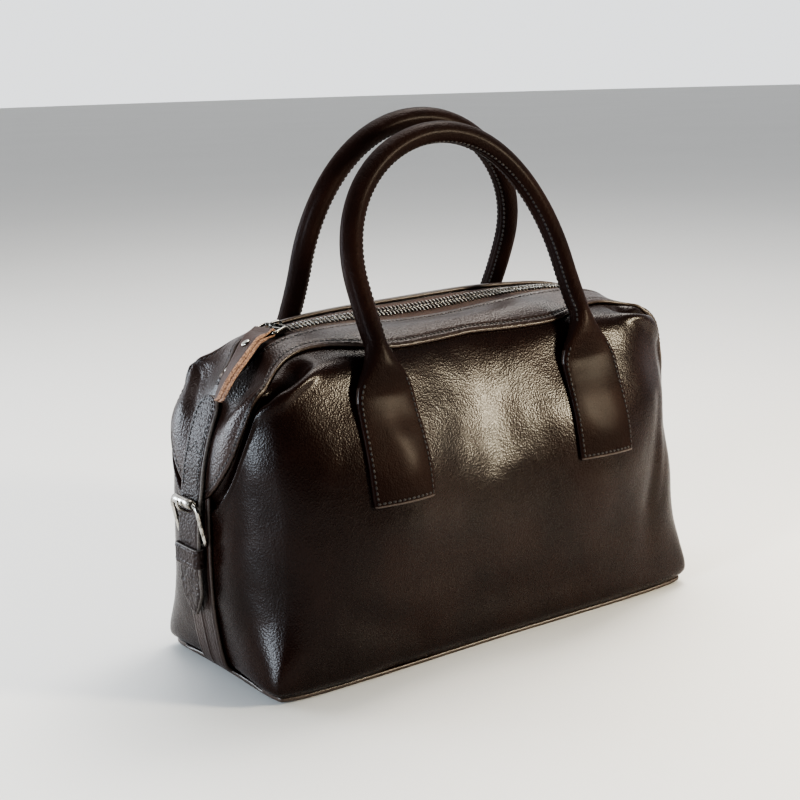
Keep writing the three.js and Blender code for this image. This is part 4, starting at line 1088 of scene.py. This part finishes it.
def strap_keeper(side):
    """Grids of a keeper: columns round the strap, rows up it, with a ridge along each edge."""
    z = np.linspace(KEEPER_LOW, KEEPER_HIGH, KEEPER_ROWS)
    half_depth = STRAP_THICK / 2 + KEEPER_CLEAR
    middle = table(STRAP_ROWS, (KEEPER_LOW + KEEPER_HIGH) / 2) + STRAP_THICK / 2
    half = STRAP_HALF + KEEPER_BESIDE
    insets = (z - KEEPER_LOW - RIDGE_INSET, KEEPER_HIGH - z - RIDGE_INSET)
    ridges = sum(bell(inset / RIDGE_HALF) for inset in insets)
    flat = rounded_rectangle(half, half_depth, min(KEEPER_ROUND, half_depth) - KEEPER_TIGHT, 9, 9)
    core = np.array([half - KEEPER_ROUND, KEEPER_FLAT])
    away = unit(flat - np.clip(flat, -core, core))

    def loop(grow):
        y, depth = (flat[:, c:c + 1] + grow * away[:, c:c + 1] for c in (0, 1))
        return end_point(side, y + 0 * z, z + 0 * y, middle + depth + 0 * z)

    return loop(KEEPER_WALL + RIDGE_HEIGHT * (ridges - 1)), loop(np.zeros_like(z))


for end_name, end_side in ENDS:
    add_piece("end_strip_leather_" + end_name, shell(*end_strip(end_side), bulge=0.5),
              [TRIM_LEATHER, EDGE_PAINT], ["end_strip_" + end_name])
    strap_points, strap_faces, strap_kinds = shell(*buckle_strap(end_side), bulge=0.5)
    heights = np.array([strap_points[f[0]][2] for f in strap_faces])
    strap_kinds = np.where((np.array(strap_kinds) == 0) & (heights < WORN_BELOW), 2, strap_kinds)
    add_piece("buckle_strap_leather_" + end_name, (strap_points, strap_faces, strap_kinds),
              [STRAP_LEATHER, STRAP_EDGE, TIP_LEATHER], ["buckle_strap_" + end_name])
    strap_lines = [stitches(*line, STRAP_PITCH) for line in strap_stitch_lines(end_side)]
    add_piece("buckle_strap_stitches_" + end_name, joined(*strap_lines), [THREAD])
    for make in (buckle_frame, buckle_roller, buckle_prong):
        add_piece(f"{make.__name__}_metal_{end_name}", make(end_side), [METAL],
                  [f"{make.__name__}_{end_name}"])
    add_piece("strap_keeper_leather_" + end_name, shell(*strap_keeper(end_side), True, 0.5),
              [STRAP_LEATHER, STRAP_EDGE], ["strap_keeper_" + end_name])


# Zip
TAPE_LEVEL, TAPE_SINK, TAPE_END = 8.2, 0.25, 135.8
TAPE_COLUMNS, TAPE_SIDE_ROWS, TAPE_MIDDLE_ROWS = 181, 5, 14
TEETH_LOW, TEETH_HIGH, TEETH_END, TEETH_SHORT = 0.5, 2.3, 128.6, 0.6
TOOTH_PITCH, TOOTH_REACH, TOOTH_HALF, TOOTH_DEPTH, TOOTH_INSET = 2.54, 3.7, 0.46, 0.8, 0.75
HEAD_HALF, HEAD_INSET, HEAD_LIFT = (0.6, 0.5, 0.55), 0.42, 0.12
STOP_X, STOP_LENGTH, STOP_HALF, STOP_LOW, STOP_HIGH = 131.8, 4.4, 3.2, 0.5, 2.9
SLIDER_X = -103
SLIDER_LENGTH, SLIDER_HALF, SLIDER_CHEEK, SLIDER_ROOF, SLIDER_TOP = 11, 4.5, 3.4, 2.65, 3.9
CHEEK_SHORT, CHEEK_LOW = 0.3, 0.2
BRIDGE_HALF, BRIDGE_LENGTH, BRIDGE_UNDER, BRIDGE_THICK, BRIDGE_SUNK = 1.3, 8.0, 2.5, 1.3, 0.2
BRIDGE_SECTIONS, BRIDGE_SQUARE = 25, 0.5


def zip_tape():
    """Upper and lower grids of the tape: columns along the zip, rows across it."""
    x = np.linspace(-TAPE_END, TAPE_END, TAPE_COLUMNS)
    normal = zip_frame(x)[3]
    levels = np.linspace(TAPE_LEVEL, SLOT, TAPE_SIDE_ROWS)
    front = np.stack([side_point(-1, x, np.full(x.shape, v)) for v in levels], 1)
    back = np.stack([side_point(1, x, np.full(x.shape, v)) for v in levels[::-1]], 1)
    share = np.linspace(0, 1, TAPE_MIDDLE_ROWS)[1:-1, None]
    middle = lerp(front[:, -1:], back[:, :1], share)
    grid = np.concatenate([front, middle, back], 1)
    return grid - TAPE_SINK * normal[:, None], grid - (TAPE_SINK + TAPE_THICK) * normal[:, None]


def zip_teeth():
    """Two rows of long teeth whose heads mesh along the middle."""
    count = int(TEETH_END / TOOTH_PITCH)
    leg = lump((TOOTH_HALF, TOOTH_REACH / 2, TOOTH_DEPTH), 4.0, 3.2, 12, 5)
    head = lump(HEAD_HALF, 3.0, 2.6, 10, 5)
    rows = []
    for side in (-1, 1):
        x = np.arange(-count, count + 1) * TOOTH_PITCH + side * TOOTH_PITCH / 4
        x = x[np.abs(x) < TEETH_END - TEETH_SHORT]
        point, along, across, normal = zip_frame(x)
        at = point + (TEETH_LOW + TEETH_HIGH) / 2 * normal
        leg_at = at + side * (TOOTH_INSET + TOOTH_REACH / 2) * across
        head_at = at + side * HEAD_INSET * across + HEAD_LIFT * normal
        rows += [scatter(leg, leg_at, along, across, normal), scatter(head, head_at, along, across, normal)]
    return joined(*rows)


def on_zip(shape, x, y, off):
    """A small shape set on the zip at x, across it by y and off it by a distance."""
    point, along, across, normal = zip_frame(np.array([float(x)]))
    return scatter(shape, point + y * across + off * normal, along, across, normal)


def zip_slider():
    """A roof over the teeth, a cheek on each side and the bridge that holds the pull."""
    roof = lump((SLIDER_LENGTH / 2, SLIDER_HALF, (SLIDER_TOP - SLIDER_ROOF) / 2), 3.2, 4.0, 36, 9)
    cheek_half = (
        SLIDER_LENGTH / 2 - CHEEK_SHORT,
        (SLIDER_HALF - SLIDER_CHEEK) / 2,
        (SLIDER_TOP - TEETH_LOW) / 2 - CHEEK_LOW,
    )
    cheek = lump(cheek_half, 4.0, 4.0, 20, 9)
    cheek_y, cheek_z = (SLIDER_HALF + SLIDER_CHEEK) / 2, (TEETH_LOW + SLIDER_TOP) / 2
    turn = np.linspace(0, np.pi, BRIDGE_SECTIONS)
    reach, crown = BRIDGE_LENGTH / 2 - BRIDGE_THICK / 2, BRIDGE_UNDER + BRIDGE_THICK / 2
    arch = np.stack([
        -reach * np.sign(np.cos(turn)) * np.abs(np.cos(turn)) ** BRIDGE_SQUARE,
        0 * turn,
        SLIDER_TOP - BRIDGE_SUNK + (crown + BRIDGE_SUNK) * np.sin(turn) ** BRIDGE_SQUARE,
    ], -1)
    bridge = wire(arch, [0, 1, 0], BRIDGE_THICK / 2, 14, False)
    bridge[0][:, 1] *= BRIDGE_HALF / (BRIDGE_THICK / 2)
    return joined(
        on_zip(roof, SLIDER_X, 0, (SLIDER_ROOF + SLIDER_TOP) / 2),
        on_zip(cheek, SLIDER_X, -cheek_y, cheek_z),
        on_zip(cheek, SLIDER_X, cheek_y, cheek_z),
        on_zip(bridge, SLIDER_X, 0, 0),
    )


add_piece("zip_tape_woven", shell(*zip_tape())[:2], [TAPE], ["zip_tape"])
add_piece("zip_teeth_metal", zip_teeth(), [TEETH_METAL], ["zip_teeth"])
add_piece("zip_slider_metal", zip_slider(), [SLIDER_METAL], ["zip_slider"])
stop_shape = lump((STOP_LENGTH / 2, STOP_HALF, (STOP_HIGH - STOP_LOW) / 2), 5.0, 4.0, 28, 9)
for end_name, end_side in ENDS:
    stop_mesh = on_zip(stop_shape, end_side * STOP_X, 0, (STOP_LOW + STOP_HIGH) / 2)
    add_piece("zip_stop_metal_" + end_name, stop_mesh, [METAL], ["zip_stop_" + end_name])


# Zip pull, in a frame whose origin is the link's bar under the bridge and whose -x runs down the tab
LINK_WIRE, LINK_HALF, LINK_LENGTH, LINK_CORNER, LINK_CLEAR = 0.85, 7.8, 9.6, 1.8, 0.4
PULL_LEAN, PULL_DROP = math.radians(15), math.radians(2.5)
TAB_HALF, TAB_LAYER, TAB_LENGTH, TAB_BEND, TAB_FOLD = 6.4, 2.2, 49, math.radians(48), 1.2
# Half the gap between the tab's two layers, and where the layers start below the link
TAB_GAP, TAB_START = 0.06, 3.2
TAB_TWIST = (math.radians(6), math.radians(40))
TAB_SIDE, TAB_SAG, TAB_ROLL = 5.0, 1.2, 0.55
# Stretches down the tab over which its twist, sideways drape, sag and full thickness come in
TWIST_FADE, SIDE_FADE, SAG_FADE, THICK_FADE = (2, 12), (3, 30), (1, 20), (2.5, 8)
TAB_SECTIONS, TAB_ACROSS, FOLD_SECTIONS, FOLD_TURN = 60, 15, 15, 75
TIP_TAPER, TIP_ROUND = 0.12, 4
RIVET_ALONG, RIVET_HALF, RIVET_HEIGHT, RIVET_LIFT = 15, 2.6, 0.9, 0.25


def pull_to_bag(points):
    """Points of the pull's frame, set under the slider's bridge."""
    origin, along, across, normal = (v[0] for v in zip_frame(np.array([float(SLIDER_X)])))
    lean = Matrix.Rotation(PULL_LEAN, 3, "Z") @ Matrix.Rotation(-PULL_DROP, 3, "Y")
    local = points @ np.array(lean).T + np.array([0, 0, SLIDER_TOP + BRIDGE_UNDER / 2])
    return origin + local @ np.array([along, across, normal])


def tab_frame(along):
    """The tab's middle line: points, width directions and normals, twisted towards the tip."""
    radius = TAB_LENGTH / TAB_BEND
    angle = along / radius
    zero = np.zeros_like(angle)
    point = np.stack([-LINK_LENGTH - radius * np.sin(angle), zero, radius * (np.cos(angle) - 1)], -1)
    normal = np.stack([-np.sin(angle), zero, np.cos(angle)], -1)
    twist = lerp(*TAB_TWIST, along / TAB_LENGTH)[..., None] * smooth(along, *TWIST_FADE)[..., None]
    wide = np.array([0, 1.0, 0])
    turned_wide = np.cos(twist) * wide - np.sin(twist) * normal
    turned_normal = np.cos(twist) * normal + np.sin(twist) * wide
    drape = np.stack([zero, -TAB_SIDE * smooth(along, *SIDE_FADE), -TAB_SAG * smooth(along, *SAG_FADE)], -1)
    return point + drape + TAB_ROLL * TAB_HALF * np.sin(twist) * normal, turned_wide, turned_normal


def pull_tab():
    """One strip of leather from the tip up to the link's far bar, round it and back down to the tip."""
    along = np.linspace(TAB_LENGTH, TAB_START, TAB_SECTIONS)
    point, wide, normal = tab_frame(along)
    layer = TAB_LAYER - 2 * TAB_GAP
    thick = lerp(TAB_FOLD, layer, smooth(along, *THICK_FADE))[:, None]
    middle = TAB_GAP + layer / 2
    turn = np.radians(np.linspace(FOLD_TURN, -FOLD_TURN, FOLD_SECTIONS))
    fold_normal = np.stack([np.cos(turn), 0 * turn, np.sin(turn)], -1)
    fold_point = np.array([-LINK_LENGTH, 0, 0]) + (LINK_WIRE + LINK_CLEAR + TAB_FOLD / 2) * fold_normal
    fold_wide = np.tile([0, 1.0, 0], (FOLD_SECTIONS, 1))
    points = np.concatenate([point + middle * normal, fold_point, (point - middle * normal)[::-1]])
    normals = np.concatenate([normal, fold_normal, -normal[::-1]])
    widths = np.concatenate([wide, fold_wide, wide[::-1]])
    half_thick = np.concatenate([thick, np.full((FOLD_SECTIONS, 1), TAB_FOLD), thick[::-1]]) / 2
    down = np.concatenate([along, np.zeros(FOLD_SECTIONS), along[::-1]])
    half = TAB_HALF * (1 - TIP_TAPER * smooth(down, TAB_LENGTH - TIP_ROUND, TAB_LENGTH))
    sideways = half[:, None] * np.linspace(-1, 1, TAB_ACROSS)
    across = points[:, None] + widths[:, None] * sideways[..., None]
    return across + (half_thick * normals)[:, None], across - (half_thick * normals)[:, None]


def pull_link():
    flat = rounded_rectangle(LINK_LENGTH / 2, LINK_HALF, LINK_CORNER, 9, 9)
    path = np.column_stack([flat[:, 0] - LINK_LENGTH / 2, flat[:, 1], np.zeros(len(flat))])
    return wire(path, [0, 0, 1], LINK_WIRE, 14)


def pull_rivet():
    at, wide, normal = tab_frame(np.array([float(RIVET_ALONG)]))
    shape = lump((RIVET_HALF, RIVET_HALF, RIVET_HEIGHT), 2.0, 2.4, 24, 9)
    return scatter(shape, at + (TAB_LAYER + RIVET_LIFT) * normal, np.cross(wide, normal), wide, normal)


tab_mesh = shell(*pull_tab(), bulge=0.25)
for pull_name, pull_node, pull_mesh, pull_looks, pull_slot in (
    ("pull_link_metal", "pull_link", pull_link(), [SLIDER_METAL], "metal"),
    ("pull_tab_leather", "pull_tab", tab_mesh, [PULL_LEATHER, RAW_EDGE], "pull_leather"),
    ("pull_rivet_metal", "pull_rivet", pull_rivet(), [METAL], "metal"),
):
    placed_mesh = (pull_to_bag(pull_mesh[0]), *pull_mesh[1:])
    add_piece(pull_name, placed_mesh, pull_looks, [pull_node], "zip_pull")


# Camera, light and floor; places and sizes here are metres
CLIP = (0.01, 100)
FLOOR_RADIUS, FLOOR_SIDES = 12, 96
FLOOR_COLOUR, FLOOR_DARK, FLOOR_LIGHT = (0.72, 0.71, 0.69), (0.70, 0.69, 0.67), (0.74, 0.73, 0.71)
# The room's light: its colour, the direction of its bright side, where it turns bright, and its two strengths
ROOM_COLOUR = (0.88, 0.90, 0.92)
BACKDROP, ROOM_TURN, ROOM_LIGHT = (0.58, 0.81, 0.05), (-0.3, 0.9), (0.05, 1.2)
LAMPS = [
    # name, place, target, size, power, colour
    ["key", (0.50, -0.68, 0.36), (0, 0, 0.12), (0.12, 0.20), 8.5, (1.0, 0.89, 0.68)],
    ["overhead", (0.5, 0.5, 1.8), (0.05, 0.1, 0.1), (1.6, 1.6), 25, (1.0, 0.98, 0.95)],
    ["top_right", (0.55, 0.20, 1.15), (0, -0.02, 0.18), (0.4, 0.4), 6, (1.0, 0.93, 0.84)],
    ["left_back", (-0.85, 1.15, 0.35), (-0.15, 0, 0.12), (0.6, 0.6), 11, (0.80, 0.90, 1.0)],
    ["left", (-1.35, -0.32, 0.36), (-0.1, 0, 0.12), (0.3, 0.6), 17, (0.80, 0.90, 1.0)],
]


def add_camera():
    data = bpy.data.cameras.new("camera")
    data.sensor_width = SENSOR
    data.lens = FOCAL_PIXELS * SENSOR / FRAME_PIXELS
    data.clip_start, data.clip_end = CLIP
    level = math.cos(CAMERA_PITCH)
    ahead = Vector((math.sin(CAMERA_YAW) * level, math.cos(CAMERA_YAW) * level, -math.sin(CAMERA_PITCH)))
    right = ahead.cross(Vector((0, 0, 1))).normalized()
    down = ahead.cross(right)
    cos_roll, sin_roll = math.cos(CAMERA_ROLL), math.sin(CAMERA_ROLL)
    x_axis = cos_roll * right + sin_roll * down
    y_axis = -(cos_roll * down - sin_roll * right)
    turn = Matrix((x_axis, y_axis, -ahead)).transposed()
    camera = bpy.data.objects.new("camera", data)
    camera.matrix_world = Matrix.Translation(Vector(CAMERA_AT) * MM) @ turn.to_4x4()
    bpy.context.scene.collection.objects.link(camera)
    bpy.context.scene.camera = camera


def softbox(name, at, target, size, power, colour):
    """A soft rectangular light that points at its target."""
    data = bpy.data.lights.new(name, "AREA")
    data.shape = "RECTANGLE"
    data.size, data.size_y = size
    data.energy = power
    data.color = colour
    lamp = bpy.data.objects.new(name, data)
    lamp.visible_camera = False
    lamp.location = at
    lamp.rotation_euler = (Vector(target) - Vector(at)).to_track_quat("-Z", "Y").to_euler()
    bpy.context.scene.collection.objects.link(lamp)


def add_floor():
    look = Look("floor", FLOOR_COLOUR, 0.6)
    tone = look.add("TexNoise", look.place, Scale=2.0, Detail=2.0)
    look.feed("Base Color", look.mixed(tone.outputs["Fac"], FLOOR_DARK, FLOOR_LIGHT))
    bpy.ops.mesh.primitive_circle_add(vertices=FLOOR_SIDES, radius=FLOOR_RADIUS, fill_type="NGON")
    floor = bpy.context.object
    floor.name = "floor"
    floor.data.materials.append(look.item)


def add_world():
    """A room that is bright behind the bag and dim on the side that its front faces."""
    world = bpy.data.worlds.new("studio")
    room = Nodes(world)
    background = room.all["Background"]
    background.inputs["Color"].default_value = (*ROOM_COLOUR, 1)
    facing = room.add("VectorMath", operation="DOT_PRODUCT")
    facing.inputs[1].default_value = BACKDROP
    room.links.new(room.all.new("ShaderNodeTexCoord").outputs["Generated"], facing.inputs[0])
    strength = room.ranged(facing.outputs["Value"], *ROOM_TURN, *ROOM_LIGHT)
    room.links.new(strength, background.inputs["Strength"])
    bpy.context.scene.world = world


add_camera()
add_floor()
add_world()
for lamp_row in LAMPS:
    softbox(*lamp_row)
bpy.context.scene.view_settings.look = "AgX - High Contrast"
